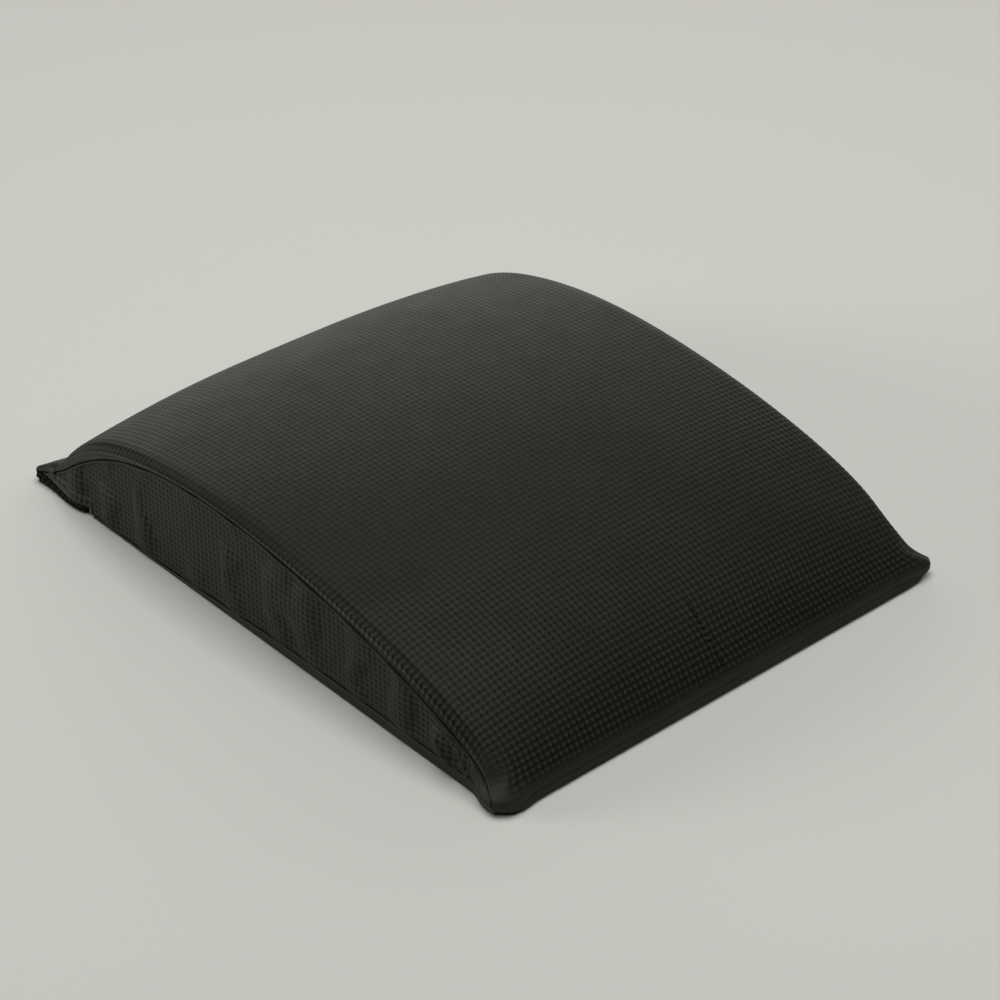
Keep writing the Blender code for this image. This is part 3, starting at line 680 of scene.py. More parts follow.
# %% Edges of the gusset
ZIP_CORNER_RADIUS = 5.5 * MM
ZIP_SIDE_RUN = 37 * MM
ZIP_FRONT = ZIP_BACK - ZIP_CORNER_RADIUS - ZIP_SIDE_RUN
ZIP_DROP_RUN = 16 * MM
CHAIN_HALF = 1.9 * MM
GUSSET_FRONT = -HALF_LENGTH + VINYL + SEAM_GAP
GUSSET_REAR = HALF_LENGTH + 1 * MM
LIP_TOP = 9.1 * MM
LIP_REACH = 7 * MM
RIM_AT_CORNER = 4 * MM
RIM_CORNER_RUN = 14 * MM
RIM_GROWS_UNTIL = 105 * MM
RIM_GROWS_OVER = 150 * MM


def rim_height(y):
    """Top of the base's turned-up rim: 4 mm at the front corner, 6.6 mm along the side, 1.6 at the rear."""
    grown = (1.6 + 5.0 * rises(RIM_GROWS_UNTIL - y, 0, RIM_GROWS_OVER)) * MM
    return RIM_AT_CORNER + (grown - RIM_AT_CORNER) * rises(y, -HALF_LENGTH, RIM_CORNER_RUN)


def zip_height(y):
    """Middle of the zip's chain: 2.7 mm on the side, rising to 5 mm at the rear corner."""
    return (2.7 + 2.3 * rises(y, ZIP_BACK - ZIP_CORNER_RADIUS - ZIP_DROP_RUN, ZIP_DROP_RUN)) * MM


def gusset_edges(y):
    """Lower and upper edge: over the rim or the zip, and under the top panel's seam or the placket."""
    on_zip = smooth((y - ZIP_FRONT) / (3 * MM) + 1)
    low = rim_height(y) + (zip_height(y) + CHAIN_HALF - rim_height(y)) * on_zip + SEAM_GAP
    down = (y - TOP_REAR - SEAM_GAP) / (GUSSET_REAR + LIP_REACH - TOP_REAR - SEAM_GAP)
    under = seam_height(TOP_REAR) + (LIP_TOP - seam_height(TOP_REAR)) * down - VINYL - SEAM_GAP
    high = np.where(y < TOP_REAR - VINYL, seam_height(y) - SEAM_GAP, np.minimum(under, seam_height(y)))
    return low, np.maximum(high, low + VINYL)


low, high = gusset_edges(stations)
print("the gusset is up to", round((high - low).max() / MM, 1), "mm tall")


# %% Folds from a cloth simulation
SIM_ROWS, SIM_COLUMNS = 190, 18
SIM_STEPS = 20
FOLD_SHARES = (0.035, 0.12, 0.2, 0.29, 0.385, 0.46, 0.56, 0.65, 0.76, 0.85, 0.93)
START_RIDGE = 1.4 * MM
START_SPREAD_SHARE = 0.022
FRONT_LEAN = 0.05
LEANING_SHARE = 0.25
SIDE_SHIFT = 0.006
HALF_FOLD = 0.5


def settled_folds(shift):
    """Folds on a coarse grid, in metres out from the flat leaf, rows along the mat, columns up it."""
    share = np.linspace(0, 1, SIM_ROWS)
    up = np.linspace(0, 1, SIM_COLUMNS)
    y = GUSSET_FRONT + (GUSSET_REAR - GUSSET_FRONT) * share
    low, high = gusset_edges(y)
    z = low[:, None] + (high - low)[:, None] * up
    ridges = np.zeros_like(z)
    for place in FOLD_SHARES:
        lean = FRONT_LEAN * max(0, 1 - place / LEANING_SHARE) * (up - 0.5)
        ridges += np.exp(-(((share[:, None] - place - shift - lean) / START_SPREAD_SHARE) ** 2))
    ridges = (ridges - ridges.mean()) * START_RIDGE * np.sin(math.pi * up)
    leaf = np.stack([ridges, np.repeat(y[:, None], SIM_COLUMNS, 1), z], axis=2)
    index = np.arange(SIM_ROWS * SIM_COLUMNS).reshape(SIM_ROWS, SIM_COLUMNS)
    mesh = bpy.data.meshes.new("leaf")
    mesh.from_pydata(leaf.reshape(-1, 3).tolist(), [], quads_of(index).tolist())
    cloth_leaf = bpy.data.objects.new("leaf", mesh)
    bpy.context.scene.collection.objects.link(cloth_leaf)
    held = cloth_leaf.vertex_groups.new(name="seams")
    held.add(np.concatenate([index[0], index[-1], index[:, 0], index[:, -1]]).tolist(), 1.0, "REPLACE")
    cloth = cloth_leaf.modifiers.new("cloth", "CLOTH")
    fabric = cloth.settings
    fabric.quality = 8
    fabric.mass = 0.3
    fabric.tension_stiffness = fabric.compression_stiffness = 15
    fabric.shear_stiffness = 5
    fabric.bending_stiffness = 1
    fabric.shrink_min = fabric.shrink_max = -0.01
    fabric.vertex_group_mass = "seams"
    fabric.effector_weights.gravity = 0
    fabric.use_pressure = True
    fabric.uniform_pressure_force = 0.3
    cloth.collision_settings.use_collision = False
    cloth.collision_settings.use_self_collision = False
    for step in range(1, SIM_STEPS + 1):
        bpy.context.scene.frame_set(step)
    settled = cloth_leaf.evaluated_get(bpy.context.evaluated_depsgraph_get()).to_mesh()
    places = np.empty(SIM_ROWS * SIM_COLUMNS * 3, np.float32)
    settled.vertices.foreach_get("co", places)
    bpy.data.objects.remove(cloth_leaf)
    bpy.data.meshes.remove(mesh)
    bpy.context.scene.frame_set(1)
    return places.reshape(SIM_ROWS, SIM_COLUMNS, 3)[..., 0].astype(float)


def eased(grid, times):
    """Averages each point with its neighbours from row to row, then in its row, a few times."""
    for _ in range(times):
        wide = np.pad(grid, 1, mode="edge")
        grid = (wide[:-2, 1:-1] + 2 * grid + wide[2:, 1:-1]) / 4
        wide = np.pad(grid, 1, mode="edge")
        grid = (wide[1:-1, :-2] + 2 * grid + wide[1:-1, 2:]) / 4
    return grid


def resampled(grid, row_share, column_share):
    """Reads a coarse grid at fine shares of its rows and columns, linear both ways."""
    rows = np.linspace(0, 1, grid.shape[0])
    columns = np.linspace(0, 1, grid.shape[1])
    along = np.stack([np.interp(row_share, rows, grid[:, k]) for k in range(grid.shape[1])], axis=1)
    at = np.clip(np.searchsorted(columns, column_share) - 1, 0, grid.shape[1] - 2)
    part = (column_share - columns[at]) / (columns[at + 1] - columns[at])
    return np.take_along_axis(along, at, 1) * (1 - part) + np.take_along_axis(along, at + 1, 1) * part


# %% Small crests near the front corners
# Each crest: its start and its end as (y, z), its width and its height, all in millimetres.
CORNER_CRESTS = (
    ((-139, 22), (-151, 6), 2.4, 1.2),
    ((-150, 27), (-163, 8), 2.2, 1.5),
    ((-156, 22), (-167, 13), 1.8, 1.0),
    ((-168, 16), (-179, 4), 1.8, 1.1),
)


def corner_folds(y, z):
    """Ridges near the front corner, in metres: each is a hump across its line in (y, z)."""
    crests = 0
    for (start_y, start_z), (end_y, end_z), wide, high in CORNER_CRESTS:
        run_y, run_z = (end_y - start_y) * MM, (end_z - start_z) * MM
        off_y, off_z = y - start_y * MM, z - start_z * MM
        share = np.clip((off_y * run_y + off_z * run_z) / (run_y**2 + run_z**2), 0, 1)
        away = np.hypot(off_y - share * run_y, off_z - share * run_z)
        crests = crests + high * MM * hump(away, 0, wide * MM)
    return crests


def folds_of(side):
    return settled_folds(SIDE_SHIFT * side)


print("crests drawn near each front corner:", len(CORNER_CRESTS))


# %% Raising the folds, and rolling the edges
GUSSET_ROLL = 0.9 * MM
FOLD_GAIN = 1.6
FOLD_DRAWN = 1.3 * MM
FOLD_SPREAD_SHARE = 0.02
FOLD_REST = 0.6 * MM
FOLD_REST_RUN = 25 * MM
FOLD_MOST = 2.6 * MM
FOLD_LEAST = -0.8 * MM
FULL_HEIGHT = 14 * MM
LEDGE = 0.8 * MM
LEDGE_FROM_SEAM = (-3 * MM, 2.2 * MM)


def edge_inset(from_edge, radius):
    """How far a rolled edge lies back, as a quarter circle: radius - sqrt(radius^2 - (radius - d)^2)."""
    short = np.clip(radius - from_edge, 0, radius)
    return radius - np.sqrt(radius**2 - short**2)


def turned_ends(length, pitch, radius):
    """Places from 0 to length, in even steps, and closer where the first and last radius roll over."""
    steps = int((length - 2 * radius) / pitch)
    turn = radius * (1 - np.cos(np.linspace(0, math.pi / 2, 7)))[:-1]
    return np.concatenate([turn, np.linspace(radius, length - radius, steps + 1), (length - turn)[::-1]])


def gusset_folds(side, along, length, share, tall):
    """How far the fabric stands out of the flat leaf, in metres.

    Settled folds times a gain, ridges drawn at the same places and a slight swell are added up. The sum
    is held between two limits by limit * tanh(sum / limit), and fades where the gusset is low.
    """
    folds = resampled(eased(folds_of(side), 2), along / length, share)
    at_share = (along / length)[:, None]
    drawn = sum(hump(at_share, place, FOLD_SPREAD_SHARE) for place in FOLD_SHARES)
    folds = FOLD_GAIN * folds + FOLD_DRAWN * (drawn - HALF_FOLD) * np.sqrt(np.sin(math.pi * share))
    folds = FOLD_REST * np.sin(math.pi * share) * rises(along, 0, FOLD_REST_RUN)[:, None] + folds
    folds = folds * rises(tall, 0, FULL_HEIGHT)
    limit = np.where(folds > 0, FOLD_MOST, FOLD_LEAST)
    return limit * np.tanh(folds / limit)


def rolled_back(along, length, z, low, high):
    """How far the leaf's rolled edges lie back: a quarter circle along each seam and at both ends."""
    radius = GUSSET_ROLL * (0.4 + 0.6 * rises(along, 0, 30 * MM))
    radius = np.minimum(radius[:, None], (high - low) / 2.05)
    ends = np.minimum(along, length - along)[:, None]
    back = edge_inset(high - z, radius) + edge_inset(z - low, radius)
    return np.minimum(back + edge_inset(ends, GUSSET_ROLL), 1.3 * GUSSET_ROLL), ends


# %% The two gussets
FADE_GUSSET = (0.6 * MM, 1.6 * MM)
GUSSET_RELIEF = 1.3


def make_gusset(name, side):
    """A grid of rows along the mat and columns up it, with its folds, rolled edges and embossing."""
    length = GUSSET_REAR - GUSSET_FRONT
    along = turned_ends(length, PITCH_ALONG / POINTS_PER_PITCH, GUSSET_ROLL)
    y = (GUSSET_FRONT + along)[:, None]
    low, high = gusset_edges(y)
    tallest = (high - low).max()
    up = turned_ends(1.0, PITCH_ACROSS / POINTS_PER_PITCH / tallest, GUSSET_ROLL / tallest)
    share = np.repeat(up[None], len(y), 0)
    z = low + (high - low) * share
    folds = gusset_folds(side, along, length, share, high - low)
    print(name, "folds stand from", round(folds.min() / MM, 2), "to", round(folds.max() / MM, 2), "mm")
    folds = folds + LEDGE * rises(z - high, *LEDGE_FROM_SEAM) * rises(high - low, 0, FULL_HEIGHT)
    folds = folds + corner_folds(y, z)
    back, ends = rolled_back(along, length, z, low, high)
    leaf = np.stack([side * (HALF_WIDTH + folds - back), np.repeat(y, len(up), 1), z], axis=2)
    from_seam = np.minimum(np.minimum(high - z, z - low), ends)
    relief = GUSSET_RELIEF * EMBOSS * rises(from_seam, *FADE_GUSSET) * pulled_flat(leaf)
    flap = np.array([side * SEAM_ALLOWANCE, 0, 0])
    leaf = np.concatenate([leaf[:, :1] - flap, leaf, leaf[:, -1:] - flap], axis=1)
    z = np.concatenate([z[:, :1], z, z[:, -1:]], axis=1)
    relief = np.pad(relief, ((0, 0), (1, 1)))
    if side > 0:
        leaf, z, relief = leaf[:, ::-1], z[:, ::-1], relief[:, ::-1]
    leaf, tone = emboss(leaf, z, np.repeat(along[:, None], z.shape[1], 1), relief)
    piece = grid_mesh(name, shaped_plan(leaf), gusset_look, "cover", tone=tone)
    return piece


left_skin = make_gusset("gusset_skin_left", -1)
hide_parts("gusset_left")
right_skin = make_gusset("gusset_skin_right", 1)
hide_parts("gusset_right")

# %% [markdown]
# ## Base
# The base is the bottom leaf. It turns up into a low rim all round, and its seam with the top
# panel lies on the front face as a flat topstitched hem: a fat fold of fabric, a crease, and the
# thin fold on the floor. One ring of points runs round the plan, and a profile is carried along
# it. The profile changes slowly at the corners, from the hem's two folds to the side's one.

# %% Plan of the base, once round
BASE_INSET = 2.5 * MM
HEM_TOP = 3.6 * MM
RING_STEP = 0.5 * MM
HEM_CORNER_RUN = 12 * MM


def base_ring(step):
    """Outline of the base as (x, y), counter-clockwise from the middle of the front."""
    half, rear = HALF_WIDTH - BASE_INSET, ZIP_BACK - BASE_INSET
    r = ZIP_CORNER_RADIUS - BASE_INSET
    front_x = np.arange(0, HALF_WIDTH, step)
    side_y = np.linspace(-HALF_LENGTH, rear - r, int((rear - r + HALF_LENGTH) / (2 * step)))
    inset = BASE_INSET * rises(side_y, ZIP_FRONT - 2 * VINYL, 2 * VINYL)
    turn = np.linspace(0, math.pi / 2, 12)[1:]
    back_x = np.linspace(half - r, 0, 60)[1:]
    half_ring = np.concatenate([
        np.stack([front_x, np.full_like(front_x, -HALF_LENGTH)], 1),
        np.stack([HALF_WIDTH - inset, side_y], 1),
        np.stack([half - r + r * np.cos(turn), rear - r + r * np.sin(turn)], 1),
        np.stack([back_x, np.full_like(back_x, rear)], 1),
    ])
    mirrored = half_ring[1:-1][::-1] * (-1, 1)
    return np.concatenate([half_ring, mirrored])


plan = base_ring(RING_STEP)
to_front = np.maximum(0, plan[:, 1] + HALF_LENGTH)
hem_share = falls(to_front, 0, HEM_CORNER_RUN)
rim = np.where(plan[:, 1] <= -HALF_LENGTH, HEM_TOP, rim_height(plan[:, 1]))
print("base outline has", len(plan), "points")
print("its rim is from", round(rim.min() / MM, 1), "to", round(rim.max() / MM, 1), "mm high")

# %% Profile of the front hem
# All in millimetres, out from the front face and up from the floor. The thin fold is half an
# ellipse that stands on the floor. The fat one is round below its middle, and above it a soft slope
# that runs in to the seam. The tuck goes on inside, where nobody sees it.
STITCH_PITCH = 3.0 * MM
FOLD_OUT, FOLD_HALF_HEIGHT = 1.1, 0.5
FAT_MIDDLE = 1.9
FAT_START, FAT_OUT, FAT_POWER, FAT_DROP = 0.5, 1.3, 0.7, 0.6
SLOPE_END, SLOPE_OUT, SLOPE_RISE = -0.2, 1.0, 2.9
TUCK = ((-1.2, 4.4), (-1.6, 2.4), (-2.2, 1.3))
turn_up = np.linspace(-math.pi / 2, math.pi / 2, 10)
thin_fold = np.stack([FOLD_OUT * np.cos(turn_up), FOLD_HALF_HEIGHT * (1 + np.sin(turn_up))], 1) * MM
lower = turn_up < 0
round_out = FAT_START + FAT_OUT * np.cos(turn_up) ** FAT_POWER
slope_out = SLOPE_END + SLOPE_OUT * (1 + np.cos(2 * turn_up))
fat_up = np.where(lower, FAT_DROP * np.sin(turn_up), SLOPE_RISE * turn_up / (math.pi / 2))
fat_fold = np.stack([np.where(lower, round_out, slope_out), FAT_MIDDLE + fat_up], 1) * MM
tuck = np.array(TUCK) * MM
front_profile = np.concatenate([thin_fold, fat_fold, tuck])
count = len(thin_fold) + len(fat_fold)
print("the hem stands", round(front_profile[:, 0].max() / MM, 1), "mm out from the front")

# %% Profile of the sides
RIM_ROUND = 0.9 * MM
INSIDE_RIM = 0.2 * MM


def side_profile(rim_at):
    """Out and up along a rim: a quarter round at the floor, a wall, a quarter round in at the top."""
    total = rim_at[:, None]
    r = np.minimum(RIM_ROUND, total / 2.1)
    turn = np.linspace(0, math.pi / 2, count // 2)
    low_out, low_up = -r * (1 - np.sin(turn)), r * (1 - np.cos(turn))
    high_out, high_up = -r * (1 - np.cos(turn)), total - r * (1 - np.sin(turn))
    inner_out = np.tile(tuck[:, 0], (len(rim_at), 1))
    inner_up = np.stack([rim_at - 0.3 * MM, (rim_at + VINYL) / 2, rim_at * 0 + VINYL + 0.1 * MM], 1)
    inner_up = np.maximum(np.minimum(inner_up, total - INSIDE_RIM), VINYL)
    out = np.concatenate([low_out, high_out, inner_out], axis=1)
    return out, np.concatenate([low_up, high_up, inner_up], axis=1)


side_out, side_up = side_profile(rim)
print("each profile has", side_out.shape[1], "points")

# %% From the hem round to the sides, and the dips between its stitches
HEM_THINS = (HALF_WIDTH - 16 * MM, 12 * MM)
HEM_THINS_BY = 0.75
STITCH_DIP = 0.35 * MM
at_front = hem_share[:, None]
front_out, front_up = front_profile.T
stands_out = 1 - HEM_THINS_BY * rises(np.abs(plan[:, 0]), *HEM_THINS)[:, None]
front_out = np.where(front_out > 0, front_out * stands_out, front_out)
out = front_out * at_front + side_out * (1 - at_front)
height = front_up * at_front + side_up * (1 - at_front)
puff = 0.5 + 0.5 * np.cos(2 * np.pi * plan[:, 0] / STITCH_PITCH)
on_fat_fold = np.zeros(out.shape[1])
on_fat_fold[len(thin_fold) : count] = np.sin(np.linspace(0, math.pi, len(fat_fold)))
out = out - STITCH_DIP * puff[:, None] ** 3 * on_fat_fold * at_front
print("the hem's dips are", round(STITCH_DIP / MM, 2), "mm deep, every", STITCH_PITCH / MM, "mm")

# %% The base's skin
# The underside's rings: shares of the way out from the middle, and heights in millimetres, a little
# up where the seam lies inside. The tray is the base's inner face.
UNDER_SHARES = (0.0015, 0.15, 0.3, 0.45, 0.6, 0.75, 0.88, 0.94, 0.965)
UNDER_HEIGHTS = (0, 0, 0, 0, 0, 0, 0.05, 0.35, 0.1)
TRAY_SHARES = (0.97, 0.5, 0.0015)
# Painted light: the hem's two folds at the front are made lighter, as the light they catch from the floor.
BASE_TONE, THIN_FOLD_PAINTED_LIGHT, FAT_FOLD_PAINTED_LIGHT = 0.6, 0.5, 0.35


def rings_in(shares, heights):
    """The plan's ring times each share, laid at each height."""
    flat = plan[:, None, :] * np.array(shares)[:, None]
    up = np.broadcast_to(np.array(heights)[:, None], (*flat.shape[:2], 1))
    return np.concatenate([flat, up], axis=2)


ring_ahead = np.roll(plan, -1, axis=0) - np.roll(plan, 1, axis=0)
ring_out = unit(np.stack([ring_ahead[:, 1], -ring_ahead[:, 0]], 1))
for _ in range(6):
    ring_out = unit((np.roll(ring_out, 1, axis=0) + ring_out + np.roll(ring_out, -1, axis=0)) / 3)
wall = np.concatenate([plan[:, None, :] + ring_out[:, None, :] * out[..., None], height[..., None]], axis=2)
under = rings_in(UNDER_SHARES, np.array(UNDER_HEIGHTS) * MM)
tray = rings_in(TRAY_SHARES, np.full(len(TRAY_SHARES), VINYL))
base = np.concatenate([under, wall, tray], axis=1)
base_tone = np.full(base.shape[:2], BASE_TONE)
thin_from = under.shape[1]
fat_from = thin_from + len(thin_fold)
# Painted light from the floor on the hem's thin and fat folds.
base_tone[:, thin_from:fat_from] += THIN_FOLD_PAINTED_LIGHT * at_front
base_tone[:, fat_from : thin_from + count] += FAT_FOLD_PAINTED_LIGHT * at_front
base = shaped_plan(base).transpose(1, 0, 2)
base_skin = grid_mesh("base_skin", base, base_look, "cover", closed=True, tone=base_tone.T)
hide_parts("base_panel")

# %% [markdown]
# ## Placket
# A strip of the same vinyl carries the top on over the zip. It leaves the rear seam, slopes down
# and folds back on itself in a lip that stands out over the chain, so rain and dust stay off the
# zip and the hem doesn't fray. Its section is one closed line, carried across the mat.

# %% Section of the placket at each place across
LIP_TIP = ZIP_BACK + 3.8 * MM
LIP_UNDER = 8.0 * MM
LIP_HALF = 0.68 * MM
LIP_DROP = 1.6 * MM
LIP_DROPS = (HALF_WIDTH - 16 * MM, 16 * MM)
DROP_OF_MIDDLE, DROP_OF_HALF = 0.6, 0.4
SEAM_STEP = 0.9 * MM
BELLY = 0.5 * MM
STITCH_ROW = LIP_TIP - 3.4 * MM
GROOVE_WIDTH, GROOVE_DEPTH = 0.7 * MM, 0.3 * MM
FACING_FROM_TIP = (2 * MM, 4.8 * MM, 4.9 * MM)
BACK_BELOW_FACE = 1.6 * MM
placket_y = TOP_REAR + SEAM_GAP


def placket_section(x):
    """Upper face from the seam's roll to the lip, round the lip, and back along its underside."""
    flat = 0 * x[:, None]
    seam_z = crown_surface(np.abs(x), np.full_like(x, placket_y))
    drop = LIP_DROP * rises(np.abs(x), *LIP_DROPS)
    tip_z = LIP_UNDER + LIP_HALF - DROP_OF_MIDDLE * drop
    nose_half = LIP_HALF + DROP_OF_HALF * drop
    nose_from = LIP_TIP - LIP_HALF
    slope = np.arctan2(seam_z - tip_z - LIP_HALF, nose_from - placket_y)
    roll = np.linspace(math.pi, math.pi / 2, 7)
    roll_y = placket_y + SEAM_ROLL * (1 + np.cos(roll))[None] + flat
    roll_z = (seam_z - SEAM_STEP - SEAM_ROLL * np.sin(slope))[:, None] - SEAM_ROLL * (1 - np.sin(roll))[None]
    start_y, start_z = roll_y[:, -1:], roll_z[:, -1:]
    slide = np.linspace(0, 1, 27)[1:]
    face_y = start_y + (nose_from - start_y) * slide
    face_z = start_z + ((tip_z + nose_half)[:, None] - start_z) * slide + BELLY * np.sin(math.pi * slide)
    face_z = face_z - GROOVE_DEPTH * hump(face_y, STITCH_ROW, GROOVE_WIDTH)
    nose = np.linspace(math.pi / 2, -math.pi / 2, 11)[1:]
    nose_y = nose_from + LIP_HALF * np.cos(nose)[None] + flat
    nose_z = tip_z[:, None] + nose_half[:, None] * np.sin(nose)[None]
    under_y = np.array([*(LIP_TIP - np.array(FACING_FROM_TIP)), placket_y + 1 * MM])[None] + flat
    facing_z = LIP_UNDER - drop
    under_z = np.stack([facing_z, facing_z, facing_z + VINYL, face_z[:, 3] - BACK_BELOW_FACE], 1)
    y = np.concatenate([roll_y, face_y, nose_y, under_y], 1)
    z = np.concatenate([roll_z, face_z, nose_z, under_z], 1)
    return y, z, len(roll) + len(slide)


placket_x = column_x
section_y, section_z, face_count = placket_section(placket_x)
print("the placket reaches", round((LIP_TIP - placket_y) / MM, 1), "mm behind the seam")

# %% The placket, drawn in at its ends
END_ROLL = 1.2 * MM
MOST_DRAWN_IN = 0.45
SHUT = 0.99
from_end = HALF_WIDTH - np.abs(placket_x)
placket = np.stack([np.repeat(placket_x[:, None], section_y.shape[1], 1), section_y, section_z], axis=2)
end_y, end_z, tip = section_y[0], section_z[0], face_count + 4
upper_z = np.interp(end_y, end_y[: tip + 1], end_z[: tip + 1])
under_z = np.interp(end_y, end_y[tip:][::-1], end_z[tip:][::-1])
middle_z = (upper_z + under_z) / 2
draw_in = np.clip(edge_inset(from_end, END_ROLL) / END_ROLL, 0, MOST_DRAWN_IN)[:, None]
placket[..., 2] += (middle_z - placket[..., 2]) * draw_in
print("its section has", placket.shape[1], "points")

# %% The placket's embossing, and its skin
FADE_FACE = (1.5 * MM, 1.5 * MM)
FADE_STITCHED = (STITCH_ROW - 2.4 * MM, 1.2 * MM)
FADE_END = (2 * MM, 2 * MM)
middle_y, middle_up = section_y[len(placket_x) // 2], section_z[len(placket_x) // 2]
down_face = arc_length(np.stack([middle_y, middle_up], axis=1))
on_face = (np.arange(len(down_face)) < face_count) * rises(down_face, *FADE_FACE)
on_face = on_face * falls(middle_y, *FADE_STITCHED)
placket_relief = EMBOSS * on_face[None] * rises(from_end, *FADE_END)[:, None]
across_face, along_face = np.broadcast_arrays(placket_x[:, None], down_face[None])
placket, placket_tone = emboss(placket, across_face, along_face, placket_relief)
ends = placket[[0, -1]]
ends[..., 2] += (middle_z - ends[..., 2]) * SHUT
placket = np.concatenate([ends[:1], placket, ends[1:]])
placket_tone = np.pad(placket_tone, ((1, 1), (0, 0)), mode="edge")
placket = shaped_plan(placket)
placket_skin = grid_mesh(
    "placket_skin", placket, placket_look, "cover", closed=True, flip=True, tone=placket_tone
)
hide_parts("rear_placket")

# %% [markdown]
# ## Stitches
# Two rows of lockstitch show: one along the front hem, one near the placket's lip. A curve with a
# dash pattern would be a texture. Here each stitch is a small capsule that dives into the fabric
# at both ends, and all of a row are one mesh: one capsule's grid, added to each stitch's place.

# %% Many small bars as one mesh
def turned_right(mesh):
    """Recalculates a mesh's faces so that all point outwards."""
    work = bmesh.new()
    work.from_mesh(mesh)
    bmesh.ops.recalc_face_normals(work, faces=work.faces)
    work.to_mesh(mesh)
    work.free()


def bars(name, points, look):
    """One mesh of many bars. points are (bar, section, place round it, xyz), and both ends are shut."""
    number, sections, around = points.shape[:3]
    one = np.arange(sections * around).reshape(sections, around)
    first_point = np.arange(number)[:, None, None] * one.size
    ring = np.concatenate([one, one[:, :1]], axis=1)
    quads = (first_point + quads_of(ring)[None]).reshape(-1, 4)
    caps = (first_point + np.stack([one[0, ::-1], one[-1]])[None]).reshape(-1, around)
    mesh = bpy.data.meshes.new(name)
    mesh.from_pydata(points.reshape(-1, 3).tolist(), [], quads.tolist() + caps.tolist())
    turned_right(mesh)
    return finish_piece(name, mesh, look, "cover")


# %% Stitches
STITCH_LENGTH = 2.3 * MM
THREAD = 0.42 * MM
STITCH_RISE, STITCH_SINK = 0.12 * MM, 0.25 * MM
ACROSS_MAT = np.array([1.0, 0, 0])


def stitches(name, places, upward):
    """A row of capsules across the mat. Each is rise - sink * s^2 high, with s from -1 to 1 along it."""
    along = np.linspace(-1, 1, 7)
    around = np.linspace(0, 2 * math.pi, 6, endpoint=False)
    thick = THREAD / 2 * np.sqrt(np.clip(1 - np.abs(along) ** 3, 0.02, 1))
    side = np.cross(ACROSS_MAT, upward)
    bow = STITCH_RISE - STITCH_SINK * along[:, None] ** 2
    shape = (
        along[:, None, None] * STITCH_LENGTH / 2 * ACROSS_MAT
        + (thick[:, None] * np.cos(around))[..., None] * side
        + (thick[:, None] * np.sin(around) + bow)[..., None] * upward
    )
    return bars(name, shaped_plan(places)[:, None, None, :] + shape[None], thread_look)


# %% The row along the hem
HEM_STITCHES = np.arange(-44, 45)
HEM_STITCH_OUT, HEM_STITCH_UP = 1.45 * MM, 2.6 * MM
HEM_UPWARD = (0, -1.0, 0.75)
stitch_x = HEM_STITCHES * STITCH_PITCH
hem_y = np.full_like(stitch_x, -HALF_LENGTH - HEM_STITCH_OUT)
hem_places = np.stack([stitch_x, hem_y, np.full_like(stitch_x, HEM_STITCH_UP)], axis=1)
stitches("hem_stitches", hem_places, unit(np.array(HEM_UPWARD)))

# %% The row along the lip
LIP_STITCHES = (-HALF_WIDTH + 7 * MM, HALF_WIDTH - 6 * MM)
LIP_UPWARD = (0, 0.35, 1.0)
lip_x = np.arange(*LIP_STITCHES, STITCH_PITCH)
lip_y, lip_z, _ = placket_section(lip_x)
nearest = np.argmin(np.abs(lip_y[0, :face_count] - STITCH_ROW))
lip_places = np.stack([lip_x, lip_y[:, nearest], lip_z[:, nearest]], axis=1)
stitches("lip_stitches", lip_places, unit(np.array(LIP_UPWARD)))

# %% [markdown]
# ## Zip
# The zip runs round both rear corners: two woven tapes, each with a row of teeth. A moulded tooth
# has a broad root on its tape, where it nearly meets the next one, and a rounded head that reaches
# into the slit, and the two rows stand half a pitch apart. All teeth of a row are one mesh. The
# tapes are thin bands carried along the same path, finely ribbed as a woven tape is.

# %% Path of the chain
ZIP_TURN = ZIP_CORNER_RADIUS * math.pi / 2
ZIP_LENGTH = 2 * (ZIP_SIDE_RUN + ZIP_TURN + HALF_WIDTH - ZIP_CORNER_RADIUS)
STOP_ROOM = 3.6 * MM


def zip_path(s):
    """Points at arc lengths s along the chain, left to right, and the outward unit vectors."""
    half = np.minimum(s, ZIP_LENGTH - s)
    bend = np.clip((half - ZIP_SIDE_RUN) / ZIP_CORNER_RADIUS, 0, math.pi / 2)
    before = np.minimum(half - ZIP_SIDE_RUN, 0)
    beyond = np.maximum(half - ZIP_SIDE_RUN - ZIP_TURN, 0)
    flip = np.where(s > ZIP_LENGTH / 2, -1, 1)
    x = (-HALF_WIDTH + ZIP_CORNER_RADIUS * (1 - np.cos(bend)) + beyond) * flip
    y = ZIP_BACK - ZIP_CORNER_RADIUS * (1 - np.sin(bend)) + before
    outward = np.stack([-np.cos(bend) * flip, np.sin(bend), 0 * s], axis=1)
    return np.stack([x, y, zip_height(y)], axis=1), outward


print("the chain is", round(ZIP_LENGTH / MM, 1), "mm long")

# %% Teeth
TOOTH_PITCH = 3.0 * MM
TOOTH_ROW = 1.5 * MM
TOOTH_HALF = TOOTH_PITCH * 0.36
TOOTH_DEPTH = 1.4 * MM
TOOTH_CORNERS = 8
# A tooth's sections, root to head: shares of its reach into the slit, its half width and its depth.
TOOTH_SECTIONS = (
    (0, 1.4, 0.95),
    (0.42, 1.38, 0.9),
    (0.5, 1.0, 0.8),
    (0.75, 1.15, 0.95),
    (0.92, 0.95, 0.8),
    (1.0, 0.5, 0.5),
)


def signed_power(v, power):
    """sign(v) * |v|^power. Below 1 it squares a circle's cosine and sine off."""
    return np.sign(v) * np.abs(v) ** power


